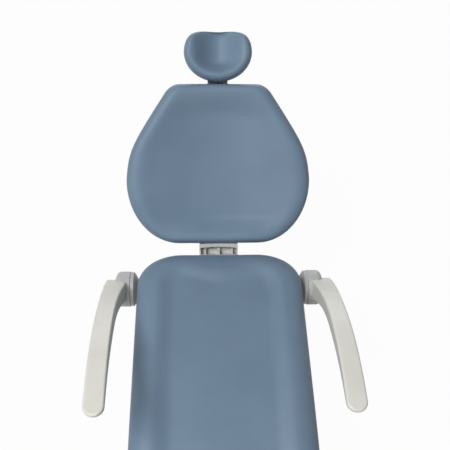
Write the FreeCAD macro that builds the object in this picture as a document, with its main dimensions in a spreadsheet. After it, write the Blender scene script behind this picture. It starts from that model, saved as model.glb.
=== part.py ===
"""Orthodontic chair: parallelogram lift, powered back, sliding headrest and flip-up arms.

Millimetres and degrees. The origin is on the floor under the middle of the base plate, +Z is up,
the foot end points to -Y and the head end to +Y. Left is the sitter's left, at +X.
"""
import FreeCAD, Part
import math
import os
import re
import Sketcher
from FreeCAD import Placement, Rotation, Vector

SIZES = {
    # floor plate and its cover
    "base_width": 530, "base_length": 800, "base_thick": 12, "base_corner": 60,
    "anchor_x": 470, "anchor_y": 680, "anchor_radius": 7,
    "cover_half": 205, "cover_front": -385, "cover_rear": 330, "cover_top": 98,
    "cover_wall": 4, "cover_draft": 8, "cover_corner": 55,
    # lift linkage: front pivots on the pedestal, one link above the other
    "pivot_y": -300, "pivot_z": 140, "link_pitch": 80, "link_length": 480, "lift_rest": 4,
    "lift_sweep": 42, "plate_in": 84, "plate_out": 96, "cheek_in": 102, "cheek_out": 114,
    "arm_depth": 30, "link_depth": 22, "main_pin": 15, "top_pin": 12, "bush_wall": 4,
    "running": 0.05, "seated": 0.02,
    # screw drives: a lever pin works in the slot of the rod's crosshead
    "lift_lever": 92, "back_lever": 80, "lever_in": 22, "lever_out": 32, "lever_pin": 9,
    "head_half": 18, "head_long": 44, "slot_play": 1.2, "rod_radius": 12, "barrel_radius": 27,
    "barrel_length": 235, "gland_gap": 20, "gear_length": 62, "motor_radius": 29, "motor_length": 130,
    # seat
    "seat_width": 546, "seat_rear": 270, "seat_lip": 9, "seat_top": 470, "seat_thick": 80, "seat_flat": 650,
    "leg_length": 500, "knee_angle": 12, "seat_corner": 105, "bolster": 110, "seat_dish": 18,
    "board_thick": 12, "board_half": 232, "rail_in": 82, "rail_out": 107, "rail_height": 34,
    "rail_wall": 4, "skirt_out": 246,
    # back hinge and backrest, measured from the seat's rear top edge
    "hinge_back": 28, "hinge_drop": 100, "hinge_pin": 12, "hinge_boss": 24, "ear_in": 69.5,
    "ear_out": 81.5, "back_angle": 40, "back_set": 66, "back_drop": 31, "back_width": 636,
    "back_height": 547, "back_sink": 6, "back_widest": 219, "back_foot": 135, "back_thick": 70,
    "back_dish": 12, "support_half": 67, "shell_depth": 38, "shell_wall": 4, "shell_inset": 16,
    # headrest
    "bar_half": 35, "bar_thick": 6, "bar_set": 98, "bar_foot": 300,
    "knuckle_low": 596, "knuckle_high": 650, "knuckle_pin": 6,
    "head_width": 232, "head_height": 168, "head_gap": 8, "head_widest": 98, "head_thick": 72,
    "head_dish": 22,
    # armrests, measured from the seat's rear top edge
    "hub_front": 65, "hub_drop": 118, "drum_radius": 59.5, "drum_in": 300, "drum_out": 350,
    "drum_round": 18, "collar_in": 275, "collar_long": 11, "boss_radius": 31.5, "boss_in": 250,
    "axle_radius": 10, "arm_width": 56, "arm_root_width": 76, "arm_thick": 42, "arm_root_thick": 74,
    "arm_tip_thick": 14, "arm_edge": 6,
    # foot rockers at the head end of the base
    "rocker_x": 105, "rocker_y": 364, "rocker_z": 46, "rocker_half": 55,
}

doc = FreeCAD.newDocument("OrthodonticChair")
sheet = doc.addObject("Spreadsheet::Sheet", "Dims")
for row, (alias, number) in enumerate(SIZES.items(), start=1):
    sheet.set("A%d" % row, alias)
    sheet.set("B%d" % row, str(number))
    sheet.setAlias("B%d" % row, alias)
doc.recompute()

SUB_PARTS = []
SIDES = (("left", 1), ("right", -1))


def ref(text):
    """Writes an expression's size names as references to the sheet's cells."""
    def cell(word):
        return "Dims." + word[0] if word[0] in SIZES else word[0]
    return re.sub(r"[A-Za-z_]\w*", cell, text)


def val(text):
    """Value of an expression in the sheet's sizes."""
    return float(sheet.evalExpression(ref(text)))


def keep(sub_part):
    """Lists an object as a sub-part to be written out."""
    SUB_PARTS.append(sub_part)
    return sub_part


def place(sub_part, y="0", z="0", tilt="0"):
    """Puts a sub-part's own frame at a point of the mid-plane, turned about X."""
    sub_part.Placement = Placement(Vector(0, 0, 0), Rotation(Vector(1, 0, 0), val(tilt)))
    sub_part.setExpression("Placement.Base.y", ref(y))
    sub_part.setExpression("Placement.Base.z", ref(z))


def new_body(label, y="0", z="0", tilt="0"):
    body = doc.addObject("PartDesign::Body", label)
    body.Label = label
    place(body, y, z, tilt)
    return keep(body)


def sketch_on(body, plane, start):
    """A sketch on one of the body's own origin planes, set off from it to the start value."""
    sketch = body.newObject("Sketcher::SketchObject", "Profile")
    support = [f for f in body.Origin.OriginFeatures if f.Role == plane][0]
    sketch.AttachmentSupport = [(support, "")]
    sketch.MapMode = "FlatFace"
    offset = "-(%s)" % start if plane == "XZ_Plane" else start
    sketch.setExpression("AttachmentOffset.Base.z", ref(offset))
    return sketch


def pin_point(sketch, geometry, vertex, where):
    """Ties a sketch point to the origin with two distances read from the sheet."""
    for kind, text in zip(("DistanceX", "DistanceY"), where):
        number = sketch.addConstraint(Sketcher.Constraint(kind, -1, 1, geometry, vertex, val(text)))
        sketch.setExpression("Constraints[%d]" % number, ref(text))


def polygon(*corners):
    """Closed outline of straight lines through the corners."""
    def draw(sketch):
        points = [Vector(val(a), val(b), 0) for a, b in corners]
        count = len(points)
        first = sketch.GeometryCount
        for begin, end in zip(points, points[1:] + points[:1]):
            sketch.addGeometry(Part.LineSegment(begin, end), False)
        for i in range(count):
            following = first + (i + 1) % count
            sketch.addConstraint(Sketcher.Constraint("Coincident", first + i, 2, following, 1))
            pin_point(sketch, first + i, 1, corners[i])
    return draw


def rectangle(left, low, right, high):
    return polygon((left, low), (right, low), (right, high), (left, high))


def circle(a, b, radius):
    def draw(sketch):
        centre = Vector(val(a), val(b), 0)
        number = sketch.addGeometry(Part.Circle(centre, Vector(0, 0, 1), val(radius)), False)
        pin_point(sketch, number, 3, (a, b))
        size = sketch.addConstraint(Sketcher.Constraint("Radius", number, val(radius)))
        sketch.setExpression("Constraints[%d]" % size, ref(radius))
    return draw


def capsule(near, far, level, radius):
    """Bar outline with round ends along the sketch's X axis."""
    def draw(sketch):
        a, b, c, r = val(near), val(far), val(level), val(radius)
        up = Vector(0, 0, 1)
        right_end = Part.ArcOfCircle(Part.Circle(Vector(b, c, 0), up, r), -math.pi / 2, math.pi / 2)
        left_end = Part.ArcOfCircle(Part.Circle(Vector(a, c, 0), up, r), math.pi / 2, 1.5 * math.pi)
        first = sketch.GeometryCount
        sketch.addGeometry(Part.LineSegment(Vector(a, c - r, 0), Vector(b, c - r, 0)), False)
        sketch.addGeometry(right_end, False)
        sketch.addGeometry(Part.LineSegment(Vector(b, c + r, 0), Vector(a, c + r, 0)), False)
        sketch.addGeometry(left_end, False)
        for i in range(4):
            joint = Sketcher.Constraint("Tangent", first + i, 2, first + (i + 1) % 4, 1)
            sketch.addConstraint(joint)
        sketch.addConstraint(Sketcher.Constraint("Equal", first + 1, first + 3))
        pin_point(sketch, first + 1, 3, (far, level))
        pin_point(sketch, first + 3, 3, (near, level))
        size = sketch.addConstraint(Sketcher.Constraint("Radius", first + 1, r))
        sketch.setExpression("Constraints[%d]" % size, ref(radius))
    return draw


def rounded(left, low, right, high, radius):
    """Rectangle with round corners."""
    def draw(sketch):
        x0, y0, x1, y1, r = val(left), val(low), val(right), val(high), val(radius)
        corners = ((right, high, "-", "-", 0), (left, high, "+", "-", 1), (left, low, "+", "+", 2),
                   (right, low, "-", "+", 3))
        first = sketch.GeometryCount
        lines = (((x1, y0 + r), (x1, y1 - r)), ((x1 - r, y1), (x0 + r, y1)), ((x0, y1 - r), (x0, y0 + r)),
                 ((x0 + r, y0), (x1 - r, y0)))
        for (begin, end), (a, b, sa, sb, quarter) in zip(lines, corners):
            sketch.addGeometry(Part.LineSegment(Vector(*begin, 0), Vector(*end, 0)), False)
            where = ("%s %s (%s)" % (a, sa, radius), "%s %s (%s)" % (b, sb, radius))
            round_corner = Part.Circle(Vector(val(where[0]), val(where[1]), 0), Vector(0, 0, 1), r)
            turn = quarter * math.pi / 2
            number = sketch.addGeometry(Part.ArcOfCircle(round_corner, turn, turn + math.pi / 2), False)
            pin_point(sketch, number, 3, where)
        for i in range(8):
            sketch.addConstraint(Sketcher.Constraint("Tangent", first + i, 2, first + (i + 1) % 8, 1))
        for i in (3, 5, 7):
            sketch.addConstraint(Sketcher.Constraint("Equal", first + 1, first + i))
        size = sketch.addConstraint(Sketcher.Constraint("Radius", first + 1, r))
        sketch.setExpression("Constraints[%d]" % size, ref(radius))
    return draw


def both(*drawings):
    """Several closed outlines in one sketch: an outer one and its holes."""
    def draw(sketch):
        for drawing in drawings:
            drawing(sketch)
    return draw


def pad(body, plane, draw, start, end, draft=None):
    """Adds material between two values along the plane's own axis."""
    sketch = sketch_on(body, plane, start)
    draw(sketch)
    feature = body.newObject("PartDesign::Pad", "Pad")
    feature.Profile = sketch
    feature.setExpression("Length", ref("(%s) - (%s)" % (end, start)))
    feature.Reversed = plane == "XZ_Plane"
    if draft:
        feature.setExpression("TaperAngle", ref(draft))
    return feature


def pocket(body, plane, draw, start, end, draft=None):
    """Removes material between two values along the plane's own axis."""
    doc.recompute()
    before = body.Shape.Volume
    sketch = sketch_on(body, plane, start)
    draw(sketch)
    feature = body.newObject("PartDesign::Pocket", "Pocket")
    feature.Profile = sketch
    feature.setExpression("Length", ref("(%s) - (%s)" % (end, start)))
    feature.Reversed = plane != "XZ_Plane"
    if draft:
        feature.setExpression("TaperAngle", ref(draft))
    doc.recompute()
    if body.Shape.Volume >= before:
        raise ValueError("a pocket removes nothing from " + body.Label)
    return feature


def mirrored_pads(body, draw, inner, outer):
    """The same plate on both sides of the mid-plane, between two distances from it."""
    pad(body, "YZ_Plane", draw, inner, outer)
    pad(body, "YZ_Plane", draw, "-(%s)" % outer, "-(%s)" % inner)


def side_span(sign, inner, outer):
    """Start and end along X of a piece on one side."""
    if sign > 0:
        return inner, outer
    return "-(%s)" % outer, "-(%s)" % inner


def round_edges(body, radius, wanted):
    """Rounds every edge of the body's last feature that the test picks."""
    doc.recompute()
    base = body.Tip
    names = ["Edge%d" % n for n, edge in enumerate(base.Shape.Edges, start=1) if wanted(edge)]
    feature = body.newObject("PartDesign::Fillet", "Fillet")
    feature.Base = (base, names)
    feature.setExpression("Radius", ref(radius))


def runs_along(axis, share=0.95):
    """Test for straight edges that run mostly along one axis."""
    def test(edge):
        if edge.Curve.TypeId != "Part::GeomLine":
            return False
        run = edge.Vertexes[-1].Point - edge.Vertexes[0].Point
        return abs(run.dot(axis)) > share * run.Length
    return test


X_AXIS, Y_AXIS, Z_AXIS = Vector(1, 0, 0), Vector(0, 1, 0), Vector(0, 0, 1)


def turned_along_x(label, profile, y, z):
    """A revolved piece about an axis parallel to X: profile corners are (x, radius) pairs."""
    body = new_body(label, y, z)
    sketch = sketch_on(body, "XY_Plane", "0")
    polygon(*profile)(sketch)
    feature = body.newObject("PartDesign::Revolution", "Revolution")
    feature.Profile = sketch
    feature.ReferenceAxis = (sketch, ["H_Axis"])
    feature.Angle = 360
    return body


def rings(label, spans, bore, outer, places, tilt="0", y="0", z="0"):
    """Bushes: a ring for each span along X at each place of the frame's side view."""
    body = new_body(label, y, z, tilt)
    for where in places:
        for start, end in spans:
            pad(body, "YZ_Plane", both(circle(*where, outer), circle(*where, bore)), start, end)
    return body


def lever_tip(y, z, length, angle):
    """Where a lever's pin sits in the side view."""
    return "%s + %s*cos(%s)" % (y, length, angle), "%s + %s*sin(%s)" % (z, length, angle)


def add_lever(body, y, z, length, angle):
    """Two tapered lever plates from a pivot out to the drive pin, with a round end."""
    tip = lever_tip(y, z, length, angle)
    corners = []
    for (cy, cz), half, signs in ((tip, "16", (1, -1)), ((y, z), "22", (-1, 1))):
        for s in signs:
            corners.append(("%s + %d*%s*sin(%s)" % (cy, s, half, angle),
                            "%s - %d*%s*cos(%s)" % (cz, s, half, angle)))
    mirrored_pads(body, polygon(*corners), "lever_in", "lever_out")
    mirrored_pads(body, circle(*tip, "16"), "lever_in", "lever_out")


# Base: steel floor plate with four anchor holes
plate = new_body("base_plate")
pad(plate, "XY_Plane", rectangle("-base_width/2", "-base_length/2", "base_width/2", "base_length/2"),
    "0", "base_thick")
round_edges(plate, "base_corner", runs_along(Z_AXIS))
anchors = [circle("%d*anchor_x/2" % i, "%d*anchor_y/2" % j, "anchor_radius")
           for i in (-1, 1) for j in (-1, 1)]
pocket(plate, "XY_Plane", both(*anchors), "0", "base_thick")

# Base cover: drafted plastic shell, open below, with a window that the linkage stands in
cover = new_body("base_cover")
pad(cover, "XY_Plane", rounded("-cover_half", "cover_front", "cover_half", "cover_rear", "cover_corner"),
    "base_thick", "cover_top", "-cover_draft")
round_edges(cover, "10", lambda edge: edge.BoundBox.ZMin > val("cover_top") - 1)
pocket(cover, "XY_Plane", rounded("cover_wall - cover_half", "cover_front + cover_wall",
                                  "cover_half - cover_wall", "cover_rear - cover_wall",
                                  "cover_corner - cover_wall"),
       "base_thick", "cover_top - cover_wall", "-cover_draft")
pocket(cover, "XY_Plane", rectangle("-cheek_out - 8", "pivot_y - 54", "cheek_out + 8", "pivot_y + 54"),
       "cover_top - 8", "cover_top + 8")

# Pedestal: two cheeks on one foot plate that hold the front pivot pins
pedestal = new_body("lift_pedestal")
pad(pedestal, "XY_Plane", rectangle("-cheek_out", "pivot_y - 46", "cheek_out", "pivot_y + 46"),
    "base_thick", "base_thick + 8")
mirrored_pads(pedestal, polygon(("pivot_y - 46", "base_thick"), ("pivot_y + 46", "base_thick"),
                                ("pivot_y + 34", "pivot_z"), ("pivot_y + 25", "pivot_z + link_pitch + 25"),
                                ("pivot_y - 25", "pivot_z + link_pitch + 25"), ("pivot_y - 34", "pivot_z")),
              "cheek_in", "cheek_out")
round_edges(pedestal, "18", lambda edge: runs_along(X_AXIS)(edge)
            and edge.BoundBox.ZMin > val("pivot_z + 60"))
pocket(pedestal, "YZ_Plane", circle("pivot_y", "pivot_z", "main_pin + seated"), "-cheek_out", "cheek_out")
pocket(pedestal, "YZ_Plane", circle("pivot_y", "pivot_z + link_pitch", "top_pin + seated"),
       "-cheek_out", "cheek_out")

front_pins = new_body("front_pivot_pins")
pad(front_pins, "YZ_Plane", circle("pivot_y", "pivot_z", "main_pin"), "-cheek_out - 4", "cheek_out + 4")
pad(front_pins, "YZ_Plane", circle("pivot_y", "pivot_z + link_pitch", "top_pin"),
    "-cheek_out - 4", "cheek_out + 4")

# Lift arm: two side plates on a torque tube and a rear tube, with the drive lever below
LIFT_LEVER_ANGLE = "(-90 - lift_sweep/2 - lift_rest)"
LEVER_Y, LEVER_Z = lever_tip("0", "0", "lift_lever", LIFT_LEVER_ANGLE)
MAIN_BUSH = "main_pin + bush_wall"
arm = new_body("lift_arm", "pivot_y", "pivot_z", "lift_rest")
pad(arm, "YZ_Plane", circle("0", "0", "arm_depth"), "-plate_in", "plate_in")
pad(arm, "YZ_Plane", circle("link_length", "0", "arm_depth - 4"), "-plate_in", "plate_in")
mirrored_pads(arm, capsule("0", "link_length", "0", "arm_depth"), "plate_in", "plate_out")
add_lever(arm, "0", "0", "lift_lever", LIFT_LEVER_ANGLE)
pocket(arm, "YZ_Plane", circle("0", "0", MAIN_BUSH), "-plate_out", "plate_out")
pocket(arm, "YZ_Plane", circle("link_length", "0", MAIN_BUSH), "-plate_out", "plate_out")
pocket(arm, "YZ_Plane", circle(LEVER_Y, LEVER_Z, "lever_pin + seated"), "-lever_out", "lever_out")
for near, far in (("90", "190"), ("280", "380")):
    pocket(arm, "YZ_Plane", capsule(near, far, "0", "14"), "-plate_out", "plate_out")

BUSH_SPANS = (("plate_out - 34", "plate_out"), ("-plate_out", "34 - plate_out"))
rings("lift_arm_bushes", BUSH_SPANS, "main_pin + running", MAIN_BUSH,
      (("0", "0"), ("link_length", "0")), "lift_rest", "pivot_y", "pivot_z")
lever_pin = new_body("lift_lever_pin", "pivot_y", "pivot_z", "lift_rest")
pad(lever_pin, "YZ_Plane", circle(LEVER_Y, LEVER_Z, "lever_pin"), "-lever_out - 3", "lever_out + 3")

# Upper links: one bushed bar each side, parallel to the lift arm
TOP_BUSH = "top_pin + bush_wall"
for side, sign in SIDES:
    link = new_body(side + "_link", "pivot_y", "pivot_z + link_pitch", "lift_rest")
    pad(link, "YZ_Plane", capsule("0", "link_length", "0", "link_depth"),
        *side_span(sign, "plate_in", "plate_out"))
    for hole in ("0", "link_length"):
        pocket(link, "YZ_Plane", circle(hole, "0", TOP_BUSH), *side_span(sign, "plate_in", "plate_out"))
LINK_SPANS = (("plate_in", "plate_out"), ("-plate_out", "-plate_in"))
rings("link_bushes", LINK_SPANS, "top_pin + running", TOP_BUSH,
      (("0", "0"), ("link_length", "0")), "lift_rest", "pivot_y", "pivot_z + link_pitch")

# Carriage: cheeks on the rear pivots, tied together, with flanges under the seat rails
REAR_Y = "(pivot_y + link_length*cos(lift_rest))"
REAR_Z = "(pivot_z + link_length*sin(lift_rest))"
RAIL_LOW = "(seat_top - seat_thick - board_thick - rail_height)"
carriage = new_body("lift_carriage")
mirrored_pads(carriage, polygon((REAR_Y + " - 30", REAR_Z + " - 28"), (REAR_Y + " + 30", REAR_Z + " - 28"),
                                (REAR_Y + " + 76", REAR_Z + " + 30"),
                                (REAR_Y + " + 112", RAIL_LOW + " - 8"),
                                (REAR_Y + " - 112", RAIL_LOW + " - 8"),
                                (REAR_Y + " - 34", REAR_Z + " + 70")),
              "cheek_in", "cheek_out")
round_edges(carriage, "16", lambda edge: runs_along(X_AXIS)(edge)
            and edge.BoundBox.ZMax < val(RAIL_LOW + " - 60"))
for sign in (1, -1):
    inner, outer = side_span(sign, "rail_in - 6", "cheek_out")
    pad(carriage, "XY_Plane", rectangle(inner, REAR_Y + " - 112", outer, REAR_Y + " + 112"),
        RAIL_LOW + " - 8", RAIL_LOW)
pad(carriage, "YZ_Plane", rectangle(REAR_Y + " + 56", REAR_Z + " + 4", REAR_Y + " + 68", REAR_Z + " + 66"),
    "-cheek_in", "cheek_in")
pocket(carriage, "YZ_Plane", circle(REAR_Y, REAR_Z, "main_pin + seated"), "-cheek_out", "cheek_out")
pocket(carriage, "YZ_Plane", circle(REAR_Y, REAR_Z + " + link_pitch", "top_pin + seated"),
       "-cheek_out", "cheek_out")
BOLT_Y = [REAR_Y + text for text in (" - 90", " + 90")]
BOLT_X = ["%d*(rail_in + 8)" % sign for sign in (1, -1)]
bolt_holes = [circle(x, y, "5 + seated") for x in BOLT_X for y in BOLT_Y]
pocket(carriage, "XY_Plane", both(*bolt_holes), RAIL_LOW + " - 8", RAIL_LOW)

rear_pins = new_body("carriage_pins")
pad(rear_pins, "YZ_Plane", circle(REAR_Y, REAR_Z, "main_pin"), "-cheek_out - 4", "cheek_out + 4")
mirrored_pads(rear_pins, circle(REAR_Y, REAR_Z + " + link_pitch", "top_pin"),
              "plate_in - 4", "cheek_out + 4")

bolts = new_body("carriage_bolts")
for x in BOLT_X:
    for y in BOLT_Y:
        pad(bolts, "XY_Plane", circle(x, y, "5"), RAIL_LOW + " - 8", RAIL_LOW + " + rail_wall")
        pad(bolts, "XY_Plane", circle(x, y, "9"), RAIL_LOW + " - 15", RAIL_LOW + " - 8")

# Seat frame: channel rails that bend down at the knee, cross members and the back hinge's ears
HINGE_Y = "(seat_rear + hinge_back)"
HINGE_Z = "(seat_top - hinge_drop)"
KNEE_Y = "(seat_rear - seat_flat)"
RAIL_TOP = "(seat_top - seat_thick - board_thick)"
RAIL_END = "(seat_rear - seat_flat - leg_length + 90)"
LEG_FALL = "((%s - %s)*tan(knee_angle))" % (KNEE_Y, RAIL_END)


def rail_outline(inset):
    """Side view of a rail, drawn in all round by the inset."""
    top, low = RAIL_TOP + " - " + inset, RAIL_LOW + " + " + inset
    return polygon((RAIL_END + " + " + inset, "%s - %s" % (low, LEG_FALL)), (KNEE_Y, low),
                   ("seat_rear - 8 - " + inset, low), ("seat_rear - 8 - " + inset, top), (KNEE_Y, top),
                   (RAIL_END + " + " + inset, "%s - %s" % (top, LEG_FALL)))


frame = new_body("seat_frame")
mirrored_pads(frame, rail_outline("0"), "rail_in", "rail_out")
for sign in (1, -1):
    pocket(frame, "YZ_Plane", rail_outline("rail_wall"), *side_span(sign, "rail_in", "rail_out - rail_wall"))
for back_edge in ("seat_rear - 30", "seat_rear - 200", "seat_rear - 400", KNEE_Y + " + 40"):
    pad(frame, "YZ_Plane", rectangle(back_edge + " - 28", RAIL_LOW + " + rail_wall", back_edge,
                                     RAIL_TOP + " - rail_wall"),
        "rail_wall - rail_out", "rail_out - rail_wall")
pad(frame, "YZ_Plane", rectangle(RAIL_END + " + 20", "%s + 10 - %s" % (RAIL_LOW, LEG_FALL),
                                 RAIL_END + " + 44", "%s - 6 - %s" % (RAIL_TOP, LEG_FALL)),
    "rail_wall - rail_out", "rail_out - rail_wall")
mirrored_pads(frame, polygon(("seat_rear - 60", RAIL_LOW + " + 1"), (HINGE_Y, HINGE_Z + " - hinge_boss"),
                             (HINGE_Y, HINGE_Z + " + hinge_boss"), (HINGE_Y + " - 22", HINGE_Z + " + 6"),
                             ("seat_rear - 60", RAIL_TOP + " - 1")), "ear_in", "ear_out")
mirrored_pads(frame, circle(HINGE_Y, HINGE_Z, "hinge_boss"), "ear_in", "ear_out")
pocket(frame, "YZ_Plane", circle(HINGE_Y, HINGE_Z, "hinge_pin + seated"), "-ear_out", "ear_out")
pocket(frame, "XY_Plane", both(*bolt_holes), RAIL_LOW, RAIL_LOW + " + rail_wall")

shaft = new_body("back_hinge_shaft")
pad(shaft, "YZ_Plane", circle(HINGE_Y, HINGE_Z, "hinge_pin"), "-ear_out", "ear_out")

# Seat board: moulded plywood, bent at the knee
board = new_body("seat_board")
BOARD_END = "(seat_rear - seat_flat - leg_length + 18)"
BOARD_FALL = "((%s - %s)*tan(knee_angle))" % (KNEE_Y, BOARD_END)
CUSHION_LOW = "(seat_top - seat_thick)"
pad(board, "YZ_Plane", polygon((BOARD_END, "%s - %s" % (RAIL_TOP, BOARD_FALL)), (KNEE_Y, RAIL_TOP),
                               ("seat_rear - 14", RAIL_TOP), ("seat_rear - 14", CUSHION_LOW),
                               (KNEE_Y, CUSHION_LOW), (BOARD_END, "%s - %s" % (CUSHION_LOW, BOARD_FALL))),
    "-board_half", "board_half")
round_edges(board, "50", runs_along(Z_AXIS))

# Under-seat covers: a channel-shaped skirt each side and a tray under the leg rest
HUB_Y = "(seat_rear - hub_front)"
HUB_Z = "(seat_top - hub_drop)"
STUB_RADIUS = "(boss_radius - 14)"
for side, sign in SIDES:
    skirt = new_body(side + "_seat_skirt")
    pad(skirt, "YZ_Plane", polygon((KNEE_Y + " + 10", RAIL_LOW + " + 6"),
                                   (KNEE_Y + " + 30", RAIL_LOW + " - 16"),
                                   ("seat_rear - 50", RAIL_LOW + " - 16"),
                                   ("seat_rear - 22", RAIL_LOW + " + 10"),
                                   ("seat_rear - 22", RAIL_TOP), (KNEE_Y + " + 10", RAIL_TOP)),
        *side_span(sign, "skirt_out - 66", "skirt_out"))
    pocket(skirt, "YZ_Plane", polygon((KNEE_Y + " + 14", RAIL_LOW + " + 8"),
                                      (KNEE_Y + " + 32", RAIL_LOW + " - 12"),
                                      ("seat_rear - 53", RAIL_LOW + " - 12"),
                                      ("seat_rear - 26", RAIL_LOW + " + 13"),
                                      ("seat_rear - 26", RAIL_TOP), (KNEE_Y + " + 14", RAIL_TOP)),
           *side_span(sign, "skirt_out - 66", "skirt_out - 4"))
    pocket(skirt, "YZ_Plane", circle(HUB_Y, HUB_Z, STUB_RADIUS + " + 1"),
           *side_span(sign, "skirt_out - 4", "skirt_out"))

leg_tray = new_body("leg_shell", KNEE_Y, RAIL_TOP, "knee_angle")
TRAY_END = "(90 - leg_length/cos(knee_angle))"
pad(leg_tray, "XY_Plane", rounded("6 - board_half", TRAY_END + " - 60", "board_half - 6", "-16", "60"),
    "-rail_height - 14", "0")
round_edges(leg_tray, "9", lambda edge: edge.BoundBox.ZMax < val("-rail_height - 13"))
pocket(leg_tray, "XY_Plane", rounded("10 - board_half", TRAY_END + " - 56", "board_half - 10", "-20", "56"),
       "-rail_height - 10", "0")
pocket(leg_tray, "XY_Plane", rectangle("-rail_out - 4", "-60", "rail_out + 4", "-15"),
       "-rail_height - 10", "0")

# Arm bosses: black outriggers from the rails, each with an axle and a fixed collar
for side, sign in SIDES:
    boss = new_body(side + "_arm_boss")
    pad(boss, "YZ_Plane", rectangle(HUB_Y + " - 26", RAIL_LOW + " + 2", HUB_Y + " + 26", RAIL_TOP + " - 2"),
        *side_span(sign, "rail_out", "rail_out + 16"))
    pad(boss, "YZ_Plane", circle(HUB_Y, HUB_Z, STUB_RADIUS), *side_span(sign, "rail_out + 12", "boss_in"))
    pad(boss, "YZ_Plane", circle(HUB_Y, HUB_Z, "boss_radius"), *side_span(sign, "boss_in", "collar_in"))
    pocket(boss, "YZ_Plane", circle(HUB_Y, HUB_Z, "axle_radius + seated"),
           *side_span(sign, "boss_in - 12", "collar_in"))
    axle = new_body(side + "_arm_axle")
    pad(axle, "YZ_Plane", circle(HUB_Y, HUB_Z, "axle_radius"),
        *side_span(sign, "boss_in - 12", "drum_out - 5"))
    collar = turned_along_x(side + "_hub_collar", [("%d*(%s)" % (sign, x), radius) for x, radius in (
        ("collar_in", "axle_radius + seated"), ("collar_in", "boss_radius + 3"),
        ("drum_in - collar_long - 2", "drum_radius - 5"), ("drum_in - collar_long", "drum_radius - 2"),
        ("drum_in - 0.5", "drum_radius - 2"), ("drum_in - 0.5", "axle_radius + seated"))], HUB_Y, HUB_Z)
    drum = turned_along_x(side + "_hub_drum", [("%d*(%s)" % (sign, x), radius) for x, radius in (
        ("drum_in", "axle_radius + running"), ("drum_in", "drum_radius - 2"), ("drum_in + 2", "drum_radius"),
        ("drum_out", "drum_radius"), ("drum_out", "0"), ("drum_out - 4", "0"),
        ("drum_out - 4", "axle_radius + running"))], HUB_Y, HUB_Z)
    round_edges(drum, "drum_round", lambda edge: edge.BoundBox.YLength > val("2*drum_radius - 1")
                and abs(edge.BoundBox.Center.x) > val("drum_out - 1"))


def along_y(body, radius, start, end, z, bore=None):
    """A round bar or sleeve along Y at one height on the mid-plane."""
    outline = circle("0", z, radius)
    pad(body, "XZ_Plane", both(outline, circle("0", z, bore)) if bore else outline, start, end)


def add_drive(name, pin_y, axis_z, slot_low, slot_high, forward, mouth, inner_end, supports):
    """One screw drive: forward is the way from the crosshead to the barrel, +1 or -1 along Y."""
    def span(near, far):
        first, second = "%s + (%d)*(%s)" % (pin_y, forward, near), "%s + (%d)*(%s)" % (pin_y, forward, far)
        return (first, second) if forward > 0 else (second, first)

    barrel = new_body(name + "_actuator_barrel")
    along_y(barrel, "barrel_radius", *span(mouth, mouth + " + barrel_length"), axis_z)
    for near, far, low, high in supports:
        first, second = span(mouth + " + " + near, mouth + " + " + far)
        pad(barrel, "YZ_Plane", rectangle(first, low, second, high), "-18", "18")
    pocket(barrel, "XZ_Plane", circle("0", axis_z, "rod_radius + 5"),
           *span(mouth, mouth + " + barrel_length - 6"))

    bush = new_body(name + "_rod_bush")
    along_y(bush, "rod_radius + 5 - seated", *span(mouth + " + 2", mouth + " + 30"), axis_z,
            "rod_radius + running")
    along_y(bush, "barrel_radius - 5", *span(mouth + " - 6", mouth), axis_z, "rod_radius + running")
    pad(bush, "XZ_Plane", both(circle("0", axis_z, "rod_radius + 5 - seated"),
                               circle("0", axis_z, "rod_radius + running")), *span(mouth, mouth + " + 2"))

    motor = new_body(name + "_gearmotor")
    gear_start = mouth + " + barrel_length"
    low_z, high_z = axis_z + " - barrel_radius - 3", axis_z + " + barrel_radius + 3"
    pad(motor, "XZ_Plane", rectangle("-barrel_radius - 8", low_z, "barrel_radius + 8", high_z),
        *span(gear_start, gear_start + " + gear_length"))
    round_edges(motor, "9", runs_along(Y_AXIS))
    motor_start = gear_start + " + gear_length"
    motor_end = motor_start + " + motor_length"
    along_y(motor, "motor_radius", *span(motor_start, motor_end), axis_z)
    along_y(motor, "motor_radius - 8", *span(motor_end, motor_end + " + 8"), axis_z)

    rod = new_body(name + "_rod")
    pad(rod, "XZ_Plane", rectangle("-head_half", slot_low + " - 10", "head_half", slot_high + " + 10"),
        *span("-head_long/2", "head_long/2"))
    along_y(rod, "rod_radius", *span("head_long/2", inner_end), axis_z)
    pocket(rod, "YZ_Plane", rectangle(pin_y + " - lever_pin - slot_play", slot_low,
                                      pin_y + " + lever_pin + slot_play", slot_high),
           "-head_half", "head_half")


# Drives: barrel on its supports, gearmotor in line, gland bush, and a rod with a slotted crosshead
LIFT_HALF = "(lift_sweep/2)"
LIFT_REACH = "lift_lever*sin(%s)" % LIFT_HALF
LIFT_PIN_LOW = "(pivot_z - lift_lever)"
LIFT_PIN_HIGH = "(pivot_z - lift_lever*cos(%s))" % LIFT_HALF
add_drive("lift", "(pivot_y - %s)" % LIFT_REACH, "((%s + %s)/2)" % (LIFT_PIN_LOW, LIFT_PIN_HIGH),
          LIFT_PIN_LOW + " - lever_pin - 3", LIFT_PIN_HIGH + " + lever_pin + 3", 1,
          "2*%s + head_long/2 + gland_gap" % LIFT_REACH, "2*%s + head_long/2 + gland_gap + 100" % LIFT_REACH,
          (("40", "70", "base_thick", "pivot_z - lift_lever"),
           ("170", "200", "base_thick", "pivot_z - lift_lever")))
BACK_SWING = "35"
BACK_PIN_LOW = "(%s - back_lever)" % HINGE_Z
BACK_PIN_HIGH = "(%s - back_lever*cos(%s))" % (HINGE_Z, BACK_SWING)
BACK_REACH = "back_lever*sin(%s)" % BACK_SWING
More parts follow.
